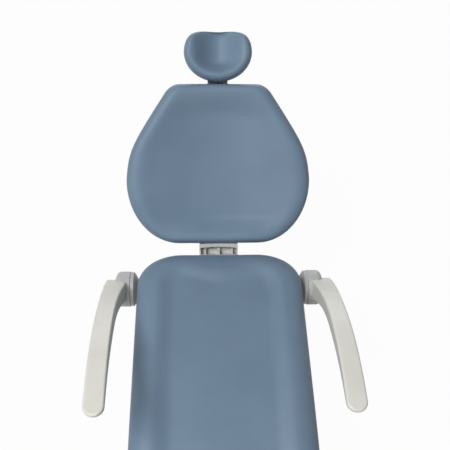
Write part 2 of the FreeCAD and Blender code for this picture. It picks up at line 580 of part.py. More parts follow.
add_drive("back", HINGE_Y, "((%s + %s)/2)" % (BACK_PIN_LOW, BACK_PIN_HIGH),
          BACK_PIN_LOW + " - lever_pin - 3", BACK_PIN_HIGH + " + lever_pin + 3", -1,
          BACK_REACH + " + head_long/2 + gland_gap", BACK_REACH + " + head_long/2 + gland_gap + 120",
          (("142", "166", BACK_PIN_HIGH + " + 10", RAIL_LOW + " + rail_wall"),))

# Electrics under the cover, the mains inlet, and the foot rockers at the head end
box = new_body("control_box")
pad(box, "XY_Plane", rectangle("-140", "cover_rear - 112", "140", "cover_rear - 30"),
    "base_thick", "cover_top - 20")
round_edges(box, "8", runs_along(Z_AXIS))

INLET_Y, INLET_Z = "(cover_rear - 72)", "45"
pocket(cover, "YZ_Plane", circle(INLET_Y, INLET_Z, "9"), "cover_half - 30", "cover_half + 10")
turned_along_x("power_inlet", [("cover_half - 20", "0"), ("cover_half - 20", "8.9"),
                               ("cover_half - 1", "8.9"), ("cover_half - 1", "15"), ("cover_half + 5", "13"),
                               ("cover_half + 5", "7"), ("cover_half - 6", "7"), ("cover_half - 6", "0")],
               INLET_Y, INLET_Z)

for side, sign in SIDES:
    bracket = new_body(side + "_rocker_bracket")
    pad(bracket, "YZ_Plane", rectangle("rocker_y - 9", "base_thick", "rocker_y + 9", "rocker_z - 10"),
        *side_span(sign, "rocker_x - 12", "rocker_x + 12"))
    pocket(bracket, "YZ_Plane", circle("rocker_y", "rocker_z - 18", "5 + running"),
           *side_span(sign, "rocker_x - 12", "rocker_x + 12"))
    rocker = new_body(side + "_foot_rocker")
    pad(rocker, "YZ_Plane", polygon(("rocker_y - 28", "rocker_z + 2"), ("rocker_y", "rocker_z - 5"),
                                    ("rocker_y + 28", "rocker_z + 2"), ("rocker_y + 26", "rocker_z + 8"),
                                    ("rocker_y", "rocker_z + 3"), ("rocker_y - 26", "rocker_z + 8")),
        *side_span(sign, "rocker_x - rocker_half", "rocker_x + rocker_half"))
    round_edges(rocker, "8", runs_along(Z_AXIS, 0.8))
    for inner, outer in (("rocker_x - 20", "rocker_x - 13"), ("rocker_x + 13", "rocker_x + 20")):
        pad(rocker, "YZ_Plane", rectangle("rocker_y - 10", "rocker_z - 25", "rocker_y + 10", "rocker_z - 2"),
            *side_span(sign, inner, outer))
    pad(rocker, "YZ_Plane", circle("rocker_y", "rocker_z - 18", "5"),
        *side_span(sign, "rocker_x - 20", "rocker_x + 20"))

# Backrest: drawn flat, with Y up the back, Z out of its face and 0 just above the cushion's bottom edge
BACK_FRAME = ("seat_rear + back_set", "seat_top - back_drop", "back_angle")
HINGE_UP = "((hinge_back - back_set)*cos(back_angle) + (back_drop - hinge_drop)*sin(back_angle))"
HINGE_OUT = "((back_set - hinge_back)*sin(back_angle) + (back_drop - hinge_drop)*cos(back_angle))"
SPINE_OUT = "(-back_thick - board_thick - 2)"
BACK_LEVER_ANGLE = "(-90 - back_angle)"


def arch(half, low_side, low_middle, high_side, high_middle):
    """Band between two shallow arcs, as wide as twice the half width."""
    def draw(sketch):
        side = val(half)
        ends = [Vector(x * side, val(level), 0) for level in (low_side, high_side) for x in (-1, 1)]
        under = Part.Arc(ends[0], Vector(0, val(low_middle), 0), ends[1])
        over = Part.Arc(ends[2], Vector(0, val(high_middle), 0), ends[3])
        for curve in (under, Part.LineSegment(ends[1], ends[3]), over, Part.LineSegment(ends[2], ends[0])):
            sketch.addGeometry(curve, False)
        for number, (a, b) in enumerate(((half, low_side), (half, high_side))):
            pin_point(sketch, 1, number + 1, (a, b))
            pin_point(sketch, 3, 2 - number, ("-(%s)" % a, b))
    return draw


support = new_body("back_support", *BACK_FRAME)
pad(support, "YZ_Plane", circle(HINGE_UP, HINGE_OUT, "hinge_boss"), "-support_half", "support_half")
pad(support, "YZ_Plane", polygon((HINGE_UP + " + 4", HINGE_OUT + " + 23"),
                                 (HINGE_UP + " - 14", HINGE_OUT + " - 18"), ("-12", SPINE_OUT + " - 18"),
                                 ("300", SPINE_OUT + " - 10"), ("300", SPINE_OUT), ("-4", SPINE_OUT),
                                 ("-18", "-44")),
    "-support_half", "support_half")
pad(support, "XY_Plane", arch("support_half", "-24", "-19", "-8.5", "-7"), SPINE_OUT + " - 4", "-30")
add_lever(support, HINGE_UP, HINGE_OUT, "back_lever", BACK_LEVER_ANGLE)
for inner, outer in (("4", "44"), ("50", "62"), ("-44", "-4"), ("-62", "-50")):
    pocket(support, "XY_Plane", rectangle(inner, "-46", outer, "-24"), "-52", "0")
for low, high in (("40", "130"), ("160", "250")):
    pocket(support, "XY_Plane", rectangle("-40", low, "40", high), SPINE_OUT + " - 20", SPINE_OUT)
HINGE_BUSH = "hinge_pin + bush_wall"
pocket(support, "YZ_Plane", circle(HINGE_UP, HINGE_OUT, HINGE_BUSH), "-support_half", "support_half")
BACK_TIP = lever_tip(HINGE_UP, HINGE_OUT, "back_lever", BACK_LEVER_ANGLE)
pocket(support, "YZ_Plane", circle(*BACK_TIP, "lever_pin + seated"), "-lever_out", "lever_out")
rings("back_hinge_bushes", (("support_half - 30", "support_half"), ("-support_half", "30 - support_half")),
      "hinge_pin + running", HINGE_BUSH, ((HINGE_UP, HINGE_OUT),), BACK_FRAME[2], *BACK_FRAME[:2])
back_pin = new_body("back_lever_pin", *BACK_FRAME)
pad(back_pin, "YZ_Plane", circle(*BACK_TIP, "lever_pin"), "-lever_out - 3", "lever_out + 3")

# Headrest carrier: guide in the back, sliding bar, knuckle, link, knob and plate
BACK_TOP = "(back_height - back_sink)"
BAR_SLOT = rectangle("-bar_half - 0.3", "-bar_set - bar_thick/2 - 0.3", "bar_half + 0.3",
                     "bar_thick/2 + 0.3 - bar_set")
guide = new_body("headrest_guide", *BACK_FRAME)
GUIDE_BLOCK = rectangle("-bar_half - 8", "-bar_set - 13", "bar_half + 8", SPINE_OUT)
pad(guide, "XZ_Plane", both(GUIDE_BLOCK, BAR_SLOT), "306", BACK_TOP + " - 8")
BEZEL_TOP = "(%s + 8.5)" % BACK_TOP
bezel = new_body("guide_bezel", *BACK_FRAME)
pad(bezel, "XZ_Plane", rectangle("-bar_half - 5", "-bar_set - 11", "bar_half + 5", "11 - bar_set"),
    BACK_TOP + " - 6", BEZEL_TOP)
round_edges(bezel, "4", lambda edge: edge.BoundBox.YMin > val(BEZEL_TOP) - 1)
pocket(bezel, "XZ_Plane", BAR_SLOT, BACK_TOP + " - 6", BEZEL_TOP)

bar = new_body("glide_bar", *BACK_FRAME)
pad(bar, "XZ_Plane", rectangle("-bar_half", "-bar_set - bar_thick/2", "bar_half", "bar_thick/2 - bar_set"),
    "bar_foot + 14", "knuckle_low - 26")

EAR_SPAN = ("22", "34")
knuckle = new_body("bar_knuckle", *BACK_FRAME)
pad(knuckle, "YZ_Plane", rectangle("knuckle_low - 26", "-bar_set - 12", "knuckle_low - 16", "12 - bar_set"),
    "-bar_half", "bar_half")
mirrored_pads(knuckle, rectangle("knuckle_low - 18", "-bar_set - 12", "knuckle_low", "12 - bar_set"),
              *EAR_SPAN)
mirrored_pads(knuckle, circle("knuckle_low", "-bar_set", "12"), *EAR_SPAN)
pocket(knuckle, "YZ_Plane", circle("knuckle_low", "-bar_set", "knuckle_pin + seated"), "-34", "34")
low_pin = new_body("bar_knuckle_pin", *BACK_FRAME)
pad(low_pin, "YZ_Plane", circle("knuckle_low", "-bar_set", "knuckle_pin"), "-36", "36")

KNOB_UP = "((knuckle_low + knuckle_high)/2)"
tilt_link = new_body("headrest_link", *BACK_FRAME)
pad(tilt_link, "YZ_Plane", capsule("knuckle_low", "knuckle_high", "-bar_set", "11"), "-21", "21")
for height in ("knuckle_low", "knuckle_high"):
    pocket(tilt_link, "YZ_Plane", circle(height, "-bar_set", "knuckle_pin + running"), "-21", "21")
pocket(tilt_link, "YZ_Plane", circle(KNOB_UP, "-bar_set", "5 + running"), "4", "21")
knob = new_body("headrest_lock_knob", *BACK_FRAME)
pad(knob, "YZ_Plane", circle(KNOB_UP, "-bar_set", "5"), "5", "24")
pad(knob, "YZ_Plane", circle(KNOB_UP, "-bar_set", "13"), "24", "44")
flutes = [circle("%s + 15*cos(%d)" % (KNOB_UP, turn), "15*sin(%d) - bar_set" % turn, "4")
          for turn in range(0, 360, 60)]
pocket(knob, "YZ_Plane", both(*flutes), "26", "44")

head_plate = new_body("headrest_plate", *BACK_FRAME)
pad(head_plate, "XY_Plane", rectangle("-58", "knuckle_high - 52", "58", "knuckle_high + 40"),
    "-head_thick - 4", "-head_thick")
round_edges(head_plate, "22", runs_along(Z_AXIS))
mirrored_pads(head_plate, rectangle("knuckle_high - 12", "-bar_set", "knuckle_high + 12", "-head_thick - 4"),
              *EAR_SPAN)
mirrored_pads(head_plate, circle("knuckle_high", "-bar_set", "12"), *EAR_SPAN)
pocket(head_plate, "YZ_Plane", circle("knuckle_high", "-bar_set", "knuckle_pin + seated"), "-34", "34")
high_pin = new_body("headrest_plate_pin", *BACK_FRAME)
pad(high_pin, "YZ_Plane", circle("knuckle_high", "-bar_set", "knuckle_pin"), "-36", "36")


def solid_piece(label, shape, y="0", z="0", tilt="0"):
    """A free-form sub-part whose shape is worked out from the sheet's sizes."""
    piece = doc.addObject("Part::Feature", label)
    piece.Label = label
    piece.Shape = shape
    place(piece, y, z, tilt)
    return keep(piece)


def loft(sections):
    """Solid through closed sections, with straight runs from each to the next."""
    return Part.makeLoft(sections, True, True)


def eased(distance, radius):
    """How far a round edge of this radius has drawn in at a distance from the end."""
    if distance >= radius:
        return 0.0
    return radius - math.sqrt(radius * radius - (radius - distance) ** 2)


def pad_section(to_space, half, low, top, dish, rim, tuck):
    """Closed cross-section of a cushion: flat under side, bulging sides, crowned rim, dished middle."""
    middle = low + 0.45 * (top - low)
    shoulder = top - 0.16 * (top - low)
    rim = min(rim, 0.62 * half)
    points = {}
    for s in (-1, 1):
        points[s] = [to_space(s * a, b) for a, b in (
            (half - tuck, low), (half, middle), (half - 0.18 * rim, shoulder),
            (half - 0.52 * rim, top), (half - rim, top - 0.5 * dish))]
    right, left = points[1], points[-1]
    edges = [Part.LineSegment(left[0], right[0]), Part.Arc(*right[0:3]), Part.Arc(*right[2:5]),
             Part.Arc(right[4], to_space(0, top - dish), left[4]), Part.Arc(left[4], left[3], left[2]),
             Part.Arc(left[2], left[1], left[0])]
    return Part.Wire([edge.toShape() for edge in edges])


# Seat cushion: one long pad, dished between its bolsters, bending down at the knee
seat_half, seat_back, seat_top = val("seat_width/2"), val("seat_rear + seat_lip"), val("seat_top")
seat_end = val("seat_rear - seat_flat - leg_length")
corner, edge_round = val("seat_corner"), 30.0
knee_slope = math.tan(math.radians(val("knee_angle")))


def seat_section(y):
    from_rear, from_toe = seat_back - y, y - seat_end
    half = seat_half - eased(from_rear, corner) - eased(from_toe, corner)
    fall = knee_slope * max(0.0, val(KNEE_Y) - y)
    ends = eased(from_rear, edge_round) + eased(from_toe, edge_round)
    top = seat_top - fall - 0.9 * ends
    low = seat_top - val("seat_thick") - fall + 0.5 + 0.5 * ends
    dish = 3 + val("seat_dish - 3") * min(1.0, max(0.0, (min(from_rear, from_toe) - 20) / 110))
    return pad_section(lambda a, b: Vector(a, y, b), half, low, top, dish, val("bolster"), 14)


NEAR_END = (0, 2, 7, 16, 30, 46, 66, 92, 130)
stations = [seat_back - d for d in NEAR_END] + [seat_back - 300]
stations += [val(KNEE_Y) + d for d in (40, 0, -40)]
stations += [seat_end + d for d in reversed(NEAR_END)]
solid_piece("seat_cushion", loft([seat_section(y) for y in stations]))

# Back cushion, board and shell: one outline, an ellipse below the widest line and a taper above it
back_half, back_height, widest = val("back_width/2"), val("back_height"), val("back_widest")
back_sink = val("back_sink")
TAPER_SLOPE, TAPER_START, TAPER_SOFT, TOP_CORNER = 0.69, 95.0, 70.0, 28.0


def back_outline(up):
    """Half width of the back at a height above its bottom edge."""
    if up < widest:
        foot = val("back_foot")
        return foot + (back_half - foot) * math.sqrt(1 - ((widest - up) / widest) ** 2)
    over = up - widest - TAPER_START
    bend = over + math.hypot(over, TAPER_SOFT) + TAPER_START - math.hypot(TAPER_START, TAPER_SOFT)
    return back_half - TAPER_SLOPE / 2 * bend - eased(back_height - up, TOP_CORNER)


def back_section(up):
    ends = eased(up, 34.0) + eased(back_height - up, 34.0)
    inside = min(up, back_height - up)
    dish = 3 + val("back_dish - 3") * min(1.0, max(0.0, (inside - 15) / 90))
    return pad_section(lambda a, b: Vector(a, up - back_sink, b), back_outline(up),
                       -val("back_thick") + 0.5 + 0.4 * ends, -0.85 * ends, dish, 78, 12)


heights = [0, 2, 7, 16, 30, 48, 72, 105, 150, widest, 275, 320, 360, 405, 450]
heights += [back_height - d for d in (60, 35, 20, 10, 4, 0)]
solid_piece("back_cushion", loft([back_section(v) for v in heights]), *BACK_FRAME)


def outline_wire(inset, out):
    """The back's outline drawn in by the inset, at a distance out of the face."""
    share = (back_height - 2 * inset) / back_height
    levels = (0, 12, 50, 120, 210, 300, 385, 480, 514, 537, back_height)
    side = [Vector(back_outline(v) - inset, inset + share * v - back_sink, out) for v in levels]
    mirror = [Vector(-p.x, p.y, p.z) for p in reversed(side)]
    edges = []
    for points in (side, mirror):
        edges += [Part.Arc(*points[i:i + 3]).toShape() for i in range(0, len(points) - 1, 2)]
        edges.append(Part.makeLine(points[-1], (mirror if points is side else side)[0]))
    return Part.Wire(edges)


def back_box(half, low, high, rear, front):
    return Part.makeBox(2 * half, high - low, front - rear, Vector(-half, low, rear))


board_face = val("-back_thick")
shell_face = val("-back_thick - board_thick")
plate_face = Part.Face(outline_wire(14.0, shell_face))
solid_piece("back_board", plate_face.extrude(Vector(0, 0, board_face - shell_face)), *BACK_FRAME)

depth, wall, inset = val("shell_depth"), val("shell_wall"), val("shell_inset")
outer_shell = loft([outline_wire(inset, shell_face), outline_wire(inset + 7, shell_face - 0.55 * depth),
                    outline_wire(inset + 42, shell_face - depth)])
inner_shell = loft([outline_wire(inset + wall, shell_face + 0.01),
                    outline_wire(inset + wall + 7, shell_face - 0.5 * depth),
                    outline_wire(inset + wall + 42, shell_face - depth + wall)])
mouth_low = back_box(val("support_half + 3"), -30, 75, shell_face - depth - 5, shell_face + 1)
mouth_high = back_box(val("bar_half + 10"), val(BACK_TOP) - 70, val(BACK_TOP) + 20, val("-bar_set - 14"),
                      shell_face + 1)
solid_piece("back_shell", outer_shell.cut(inner_shell).cut(mouth_low).cut(mouth_high), *BACK_FRAME)

# Headrest cushion: kidney outline with two soft lobes above, dished for the head
head_half, head_foot = val("head_width/2"), val("%s + head_gap" % BACK_TOP)
head_line = head_foot + val("head_widest")
head_rise = val("head_height - head_widest")
LOBE_DIP, DIP_WIDTH, LOBE_POWER = 6.0, 32.0, 5.0


def head_section(x):
    across = min(1.0, abs(x) / head_half)
    top = head_line + head_rise * math.sqrt(1 - across ** LOBE_POWER)
    top -= LOBE_DIP * math.exp(-(x / DIP_WIDTH) ** 2)
    foot = head_line - val("head_widest") * math.sqrt(1 - across ** 2)
    centre, half = (top + foot) / 2, (top - foot) / 2
    ends = eased(head_half - abs(x), 30.0)
    dish = 3 + val("head_dish - 3") * max(0.0, 1 - across ** 2)
    return pad_section(lambda a, b: Vector(x, centre + a, b), half, -val("head_thick") + 0.3 + 0.7 * ends,
                       -0.7 * ends - dish * 0.4, dish, 46, 10)


half_row = [head_half * share for share in (0.99, 0.96, 0.91, 0.84, 0.74, 0.6, 0.44, 0.28, 0.13)]
rows = [-x for x in half_row] + [0.0] + half_row[::-1]
solid_piece("headrest_cushion", loft([head_section(x) for x in rows]), *BACK_FRAME)

# Armrests: a crisp-edged bar along a bent path from the hub, wide and deep there, thinning to a round tip
ARM_ROOT, ARM_BEND, ARM_TIP = Vector(345, -76, -108), Vector(355, -235, 130), Vector(336, -605, 191)


def arm_point(t):
    return ARM_ROOT * (1 - t) ** 2 + ARM_BEND * (2 * t * (1 - t)) + ARM_TIP * t ** 2


def arm_section(t, sign):
    """Rounded rectangle square to the arm's path in the side view."""
    way = (ARM_BEND - ARM_ROOT) * (1 - t) + (ARM_TIP - ARM_BEND) * t
    way = Vector(0, way.y, way.z).normalize()
    rise = Vector(0, way.z, -way.y)
    left = (ARM_TIP - arm_point(t)).Length
    near_hub = max(0.0, 1 - t / 0.45) ** 1.6
    near_tip = max(0.0, (t - 0.55) / 0.45) ** 1.5
    half = val("arm_width/2") + val("(arm_root_width - arm_width)/2") * near_hub
    half -= eased(left, half)
    drop = val("arm_thick - arm_tip_thick") * near_tip
    tall = val("arm_thick/2") + val("(arm_root_thick - arm_thick)/2") * near_hub - drop / 2
    r = min(val("arm_edge"), 0.8 * half, 0.8 * tall)
    centre = arm_point(t) + rise * (drop / 2)

    def at(a, b):
        return Vector(sign * (centre.x + a), centre.y, centre.z) + rise * b
    edges = []
    bulge = r * (1 - math.sqrt(0.5))
    for p, q in ((1, 1), (-1, 1), (-1, -1), (1, -1)):
        start, end = (p * half, q * (tall - r)), (p * (half - r), q * tall)
        if p * q < 0:
            start, end = end, start
        edges.append(Part.Arc(at(*start), at(p * (half - bulge), q * (tall - bulge)), at(*end)).toShape())
    lines = [Part.makeLine(edges[i].Vertexes[-1].Point, edges[(i + 1) % 4].Vertexes[0].Point)
             for i in range(4)]
    return Part.Wire([edge for pair in zip(edges, lines) for edge in pair])


ARM_STATIONS = (0, 0.05, 0.1, 0.15, 0.2, 0.25, 0.31, 0.38, 0.46, 0.55, 0.65, 0.75, 0.84, 0.91, 0.945, 0.965,
                0.98, 0.99, 0.998)
for side, sign in SIDES:
    sweep = loft([arm_section(t, sign) for t in ARM_STATIONS])
    start = val("drum_in") if sign > 0 else -val("drum_out")
    room = Part.makeCylinder(val("drum_radius"), val("drum_out - drum_in"),
                             Vector(start, -val("hub_front"), -val("hub_drop")), X_AXIS)
    solid_piece(side + "_arm", sweep.cut(room), "seat_rear", "seat_top")

doc.recompute()
for item in doc.Objects:
    if "Invalid" in item.State or "Error" in item.State:
        raise ValueError("%s did not build: %s" % (item.Label, item.State))
for sub_part in SUB_PARTS:
    if sub_part.Shape.isNull() or not sub_part.Shape.isValid() or not sub_part.Shape.Solids:
        raise ValueError("%s has no valid solid" % sub_part.Label)
os.makedirs("parts", exist_ok=True)
for sub_part in SUB_PARTS:
    sub_part.Shape.exportStep("parts/%s.step" % sub_part.Label)
    box = sub_part.Shape.BoundBox
    limits = (box.XMin, box.XMax, box.YMin, box.YMax, box.ZMin, box.ZMax)
    print("%-22s solids %d" % (sub_part.Label, len(sub_part.Shape.Solids)),
          " x %.1f %.1f  y %.1f %.1f  z %.1f %.1f" % limits)
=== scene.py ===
import math

import bmesh
import bpy
import numpy as np
from mathutils import Matrix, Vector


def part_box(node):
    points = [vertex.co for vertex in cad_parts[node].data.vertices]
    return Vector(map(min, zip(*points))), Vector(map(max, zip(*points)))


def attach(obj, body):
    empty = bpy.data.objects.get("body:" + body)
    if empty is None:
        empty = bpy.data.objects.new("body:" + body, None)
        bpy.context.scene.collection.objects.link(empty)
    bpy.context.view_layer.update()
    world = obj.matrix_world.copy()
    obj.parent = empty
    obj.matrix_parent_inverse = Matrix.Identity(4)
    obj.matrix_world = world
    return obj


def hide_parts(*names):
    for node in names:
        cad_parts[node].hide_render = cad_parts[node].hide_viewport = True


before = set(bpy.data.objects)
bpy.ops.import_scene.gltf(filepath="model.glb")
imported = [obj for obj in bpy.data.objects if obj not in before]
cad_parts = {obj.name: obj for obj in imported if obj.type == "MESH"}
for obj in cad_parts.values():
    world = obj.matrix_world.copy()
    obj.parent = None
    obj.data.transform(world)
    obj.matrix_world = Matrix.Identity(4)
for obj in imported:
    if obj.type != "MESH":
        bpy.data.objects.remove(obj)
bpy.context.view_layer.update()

# Floor plate and pedestal. Laser-cut and welded steel under a dark grey powder coat,
# bolted to the floor through four holes; the coat has a fine orange peel and dull patches.


def screen_colour(red, green, blue):
    """Linear colour of an 8-bit screen colour, each channel by the sRGB curve, with full alpha."""
    share = np.array([red, green, blue]) / 255.0
    linear = np.where(share <= 0.04045, share / 12.92, ((share + 0.055) / 1.055) ** 2.4)
    return (*linear.tolist(), 1.0)


def make_grain_group():
    """Shared finish: broad patches mix two colours, fine noise gives relief, both change the gloss.

    The noise is read at the object's own coordinates times Stretch, so a long stretch draws brush lines.
    """
    group = bpy.data.node_groups.new("surface_grain", "ShaderNodeTree")
    taken = (("Colour", "NodeSocketColor"), ("Worn Colour", "NodeSocketColor"),
             ("Stretch", "NodeSocketVector"), ("Patch Scale", "NodeSocketFloat"),
             ("Grain Scale", "NodeSocketFloat"), ("Roughness", "NodeSocketFloat"),
             ("Roughness Spread", "NodeSocketFloat"))
    for title, kind in taken:
        group.interface.new_socket(title, in_out="INPUT", socket_type=kind)
    made = (("Colour", "NodeSocketColor"), ("Roughness", "NodeSocketFloat"), ("Height", "NodeSocketFloat"))
    for title, kind in made:
        group.interface.new_socket(title, in_out="OUTPUT", socket_type=kind)
    nodes, link = group.nodes, group.links.new
    given = nodes.new("NodeGroupInput")
    result = nodes.new("NodeGroupOutput")
    place = nodes.new("ShaderNodeTexCoord")
    stretch = nodes.new("ShaderNodeVectorMath")
    stretch.operation = "MULTIPLY"
    link(place.outputs["Object"], stretch.inputs[0])
    link(given.outputs["Stretch"], stretch.inputs[1])
    patches = nodes.new("ShaderNodeTexNoise")
    patches.inputs["Detail"].default_value = 4.0
    grain = nodes.new("ShaderNodeTexNoise")
    grain.inputs["Detail"].default_value = 3.0
    for noise, scale in ((patches, "Patch Scale"), (grain, "Grain Scale")):
        link(stretch.outputs[0], noise.inputs["Vector"])
        link(given.outputs[scale], noise.inputs["Scale"])
    worn = nodes.new("ShaderNodeMapRange")
    worn.inputs["From Min"].default_value = 0.38
    worn.inputs["From Max"].default_value = 0.68
    link(patches.outputs[0], worn.inputs["Value"])
    tint = nodes.new("ShaderNodeMix")
    tint.data_type = "RGBA"
    # Places of the colour sockets on a Mix node
    first_colour, second_colour, mixed_colour = 6, 7, 2
    link(worn.outputs[0], tint.inputs["Factor"])
    link(given.outputs["Colour"], tint.inputs[first_colour])
    link(given.outputs["Worn Colour"], tint.inputs[second_colour])
    both = nodes.new("ShaderNodeMath")
    both.operation = "ADD"
    link(patches.outputs[0], both.inputs[0])
    link(grain.outputs[0], both.inputs[1])
    around_zero = nodes.new("ShaderNodeMath")
    around_zero.operation = "SUBTRACT"
    around_zero.inputs[1].default_value = 1.0
    link(both.outputs[0], around_zero.inputs[0])
    gloss = nodes.new("ShaderNodeMath")
    gloss.operation = "MULTIPLY_ADD"
    link(around_zero.outputs[0], gloss.inputs[0])
    link(given.outputs["Roughness Spread"], gloss.inputs[1])
    link(given.outputs["Roughness"], gloss.inputs[2])
    link(tint.outputs[mixed_colour], result.inputs["Colour"])
    link(gloss.outputs[0], result.inputs["Roughness"])
    link(grain.outputs[0], result.inputs["Height"])
    return group


grain_group = make_grain_group()


def grain_texture(nodes, colour, worn, roughness, spread, patch, grain, stretch=(1, 1, 1)):
    """Places the grain group in a material and gives it that material's own values."""
    texture = nodes.new("ShaderNodeGroup")
    texture.node_tree = grain_group
    for title, value in (("Colour", colour), ("Worn Colour", worn), ("Stretch", stretch),
                         ("Patch Scale", patch), ("Grain Scale", grain),
                         ("Roughness", roughness), ("Roughness Spread", spread)):
        texture.inputs[title].default_value = value
    return texture


def grained_finish(name, colour, worn, roughness, spread, patch, grain, relief,
                   stretch=(1, 1, 1), metallic=0.0):
    """Principled finish whose colour, gloss and relief (in metres) come from the grain group."""
    material = bpy.data.materials.new(name)
    material.use_nodes = True
    nodes, link = material.node_tree.nodes, material.node_tree.links.new
    shader = nodes["Principled BSDF"]
    shader.inputs["Metallic"].default_value = metallic
    texture = grain_texture(nodes, colour, worn, roughness, spread, patch, grain, stretch)
    bump = nodes.new("ShaderNodeBump")
    bump.inputs["Distance"].default_value = relief
    link(texture.outputs["Height"], bump.inputs["Height"])
    link(texture.outputs["Colour"], shader.inputs["Base Color"])
    link(texture.outputs["Roughness"], shader.inputs["Roughness"])
    link(bump.outputs["Normal"], shader.inputs["Normal"])
    return material


def dress(material, *nodes):
    """Puts a finish on pieces that keep their modelled shape."""
    for node in nodes:
        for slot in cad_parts[node].material_slots:
            slot.material = material


grey_coat = grained_finish("grey_powder_coat", screen_colour(72, 75, 78), screen_colour(82, 85, 88),
                           roughness=0.5, spread=0.16, patch=9.0, grain=700.0, relief=0.00012)
dress(grey_coat, "base_plate", "lift_pedestal", "left_rocker_bracket", "right_rocker_bracket")

# Base cover, control box and mains inlet. The cover is one drafted off-white moulding screwed down
# over the plate; the box under it and the inlet in its side wall are black moulded plastic.
cover_plastic = grained_finish("cover_moulding", screen_colour(214, 214, 209), screen_colour(205, 205, 199),
                               roughness=0.46, spread=0.14, patch=6.0, grain=1300.0, relief=0.00006)
black_plastic = grained_finish("black_moulding", screen_colour(26, 26, 28), screen_colour(36, 36, 38),
                               roughness=0.5, spread=0.18, patch=14.0, grain=1500.0, relief=0.00008)
dress(cover_plastic, "base_cover")
dress(black_plastic, "control_box", "power_inlet")

# Cover screws. Zinc-plated steel button heads with a hexagon socket, four of them, driven down
# through the top of the base cover.
plated_steel = grained_finish("plated_screw", screen_colour(158, 159, 162), screen_colour(138, 139, 142),
                              roughness=0.34, spread=0.2, patch=90.0, grain=900.0, relief=0.00003,
                              metallic=1.0)
SCREW_RADIUS = 0.006
COVER_SCREW_X, COVER_SCREW_Y, COVER_SCREW_Z = (-0.165, 0.165), (-0.215, 0.275), 0.098
# Shares of a head's radius: the socket's half width and floor, the crown's flat, the dome, the sunk rim
SOCKET_HALF, SOCKET_FLOOR, CROWN_FLAT, DOME_RISE, RIM_SUNK = 0.4, 0.14, 0.52, 0.5, 0.2
OFF_EVERY_AXIS = (0.3, 0.5, 0.8)
MERGE_DISTANCE = 2e-5


def ring_mesh(name, rings, material):
    """Mesh over grids of rings: each point joins the next on its ring and its match on the next ring.

    One grid or several may be given. Points that fall together are merged, which closes both ends of a
    grid, and the faces are turned outwards.
    """
    grids = rings.reshape(-1, *rings.shape[-3:])
    pieces, count, around = grids.shape[:3]
    start = (np.arange(pieces)[:, None] * count + np.arange(count - 1)).reshape(-1, 1) * around
    step = np.arange(around)
    low = (start + step).ravel()
    after = (start + np.roll(step, -1)).ravel()
    quads = np.column_stack([low, after, after + around, low + around])
    mesh = bpy.data.meshes.new(name)
    mesh.from_pydata(grids.reshape(-1, 3).tolist(), [], quads.tolist())
    shape = bmesh.new()
    shape.from_mesh(mesh)
    bmesh.ops.remove_doubles(shape, verts=shape.verts, dist=MERGE_DISTANCE)
    bmesh.ops.recalc_face_normals(shape, faces=shape.faces)
    shape.to_mesh(mesh)
    shape.free()
    mesh.shade_smooth()
    mesh.materials.append(material)
    piece = bpy.data.objects.new(name, mesh)
    bpy.context.collection.objects.link(piece)
    return piece


def screw_rings(places, axis, radius):
    """Button heads: a quarter-ellipse dome turned round the axis, with a hexagon sunk in its crown.

    The hexagon's reach is its half width over the cosine of the angle from the nearest flat's middle.
    """
    axis = np.array(axis) / np.linalg.norm(axis)
    across = np.cross(axis, OFF_EVERY_AXIS)
    across /= np.linalg.norm(across)
    angle = np.linspace(0.0, 2 * np.pi, 36, endpoint=False)
    outward = np.cos(angle)[:, None] * across + np.sin(angle)[:, None] * np.cross(axis, across)
    socket = SOCKET_HALF / np.cos(angle % (np.pi / 3) - np.pi / 6)
    turn = np.linspace(0.0, np.pi / 2, 8)
    even = np.ones_like(angle)
    dome = np.outer(CROWN_FLAT + (1.0 - CROWN_FLAT) * np.sin(turn), even)
    reach = np.vstack([0 * even, socket, socket, dome, even, 0 * even])
    height = np.concatenate([[SOCKET_FLOOR, SOCKET_FLOOR, DOME_RISE], DOME_RISE * np.cos(turn),
                             [-RIM_SUNK, -RIM_SUNK]])
    head = radius * (reach[:, :, None] * outward + height[:, None, None] * axis)
    return np.array(places)[:, None, None, :] + head


places = [(x, y, COVER_SCREW_Z) for x in COVER_SCREW_X for y in COVER_SCREW_Y]
cover_screws = ring_mesh("cover_screws", screw_rings(places, (0, 0, 1), SCREW_RADIUS), plated_steel)
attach(cover_screws, "base")

# Foot rockers. Two black rubber-faced moulded pads that tip on a pin in small coated brackets,
# which are bolted to the floor plate at its head end.
rocker_face = grained_finish("rocker_face", screen_colour(30, 30, 31), screen_colour(44, 44, 45),
                             roughness=0.68, spread=0.14, patch=30.0, grain=900.0, relief=0.0002)
dress(rocker_face, "left_foot_rocker", "right_foot_rocker")

# Lift linkage. Welded arm and flat links in the same grey coat as the plate, turning on ground
# steel pins in oiled bronze bushes.
pin_steel = grained_finish("ground_steel", screen_colour(150, 151, 154), screen_colour(128, 129, 133),
                           roughness=0.3, spread=0.2, patch=40.0, grain=900.0, relief=0.00002,
                           stretch=(0.05, 1, 1), metallic=1.0)
bronze = grained_finish("oiled_bronze", screen_colour(196, 158, 100), screen_colour(160, 120, 70),
                        roughness=0.36, spread=0.2, patch=60.0, grain=800.0, relief=0.00004,
                        metallic=1.0)
dress(grey_coat, "lift_arm", "left_link", "right_link")
dress(pin_steel, "front_pivot_pins", "lift_lever_pin")
dress(bronze, "lift_arm_bushes", "link_bushes")

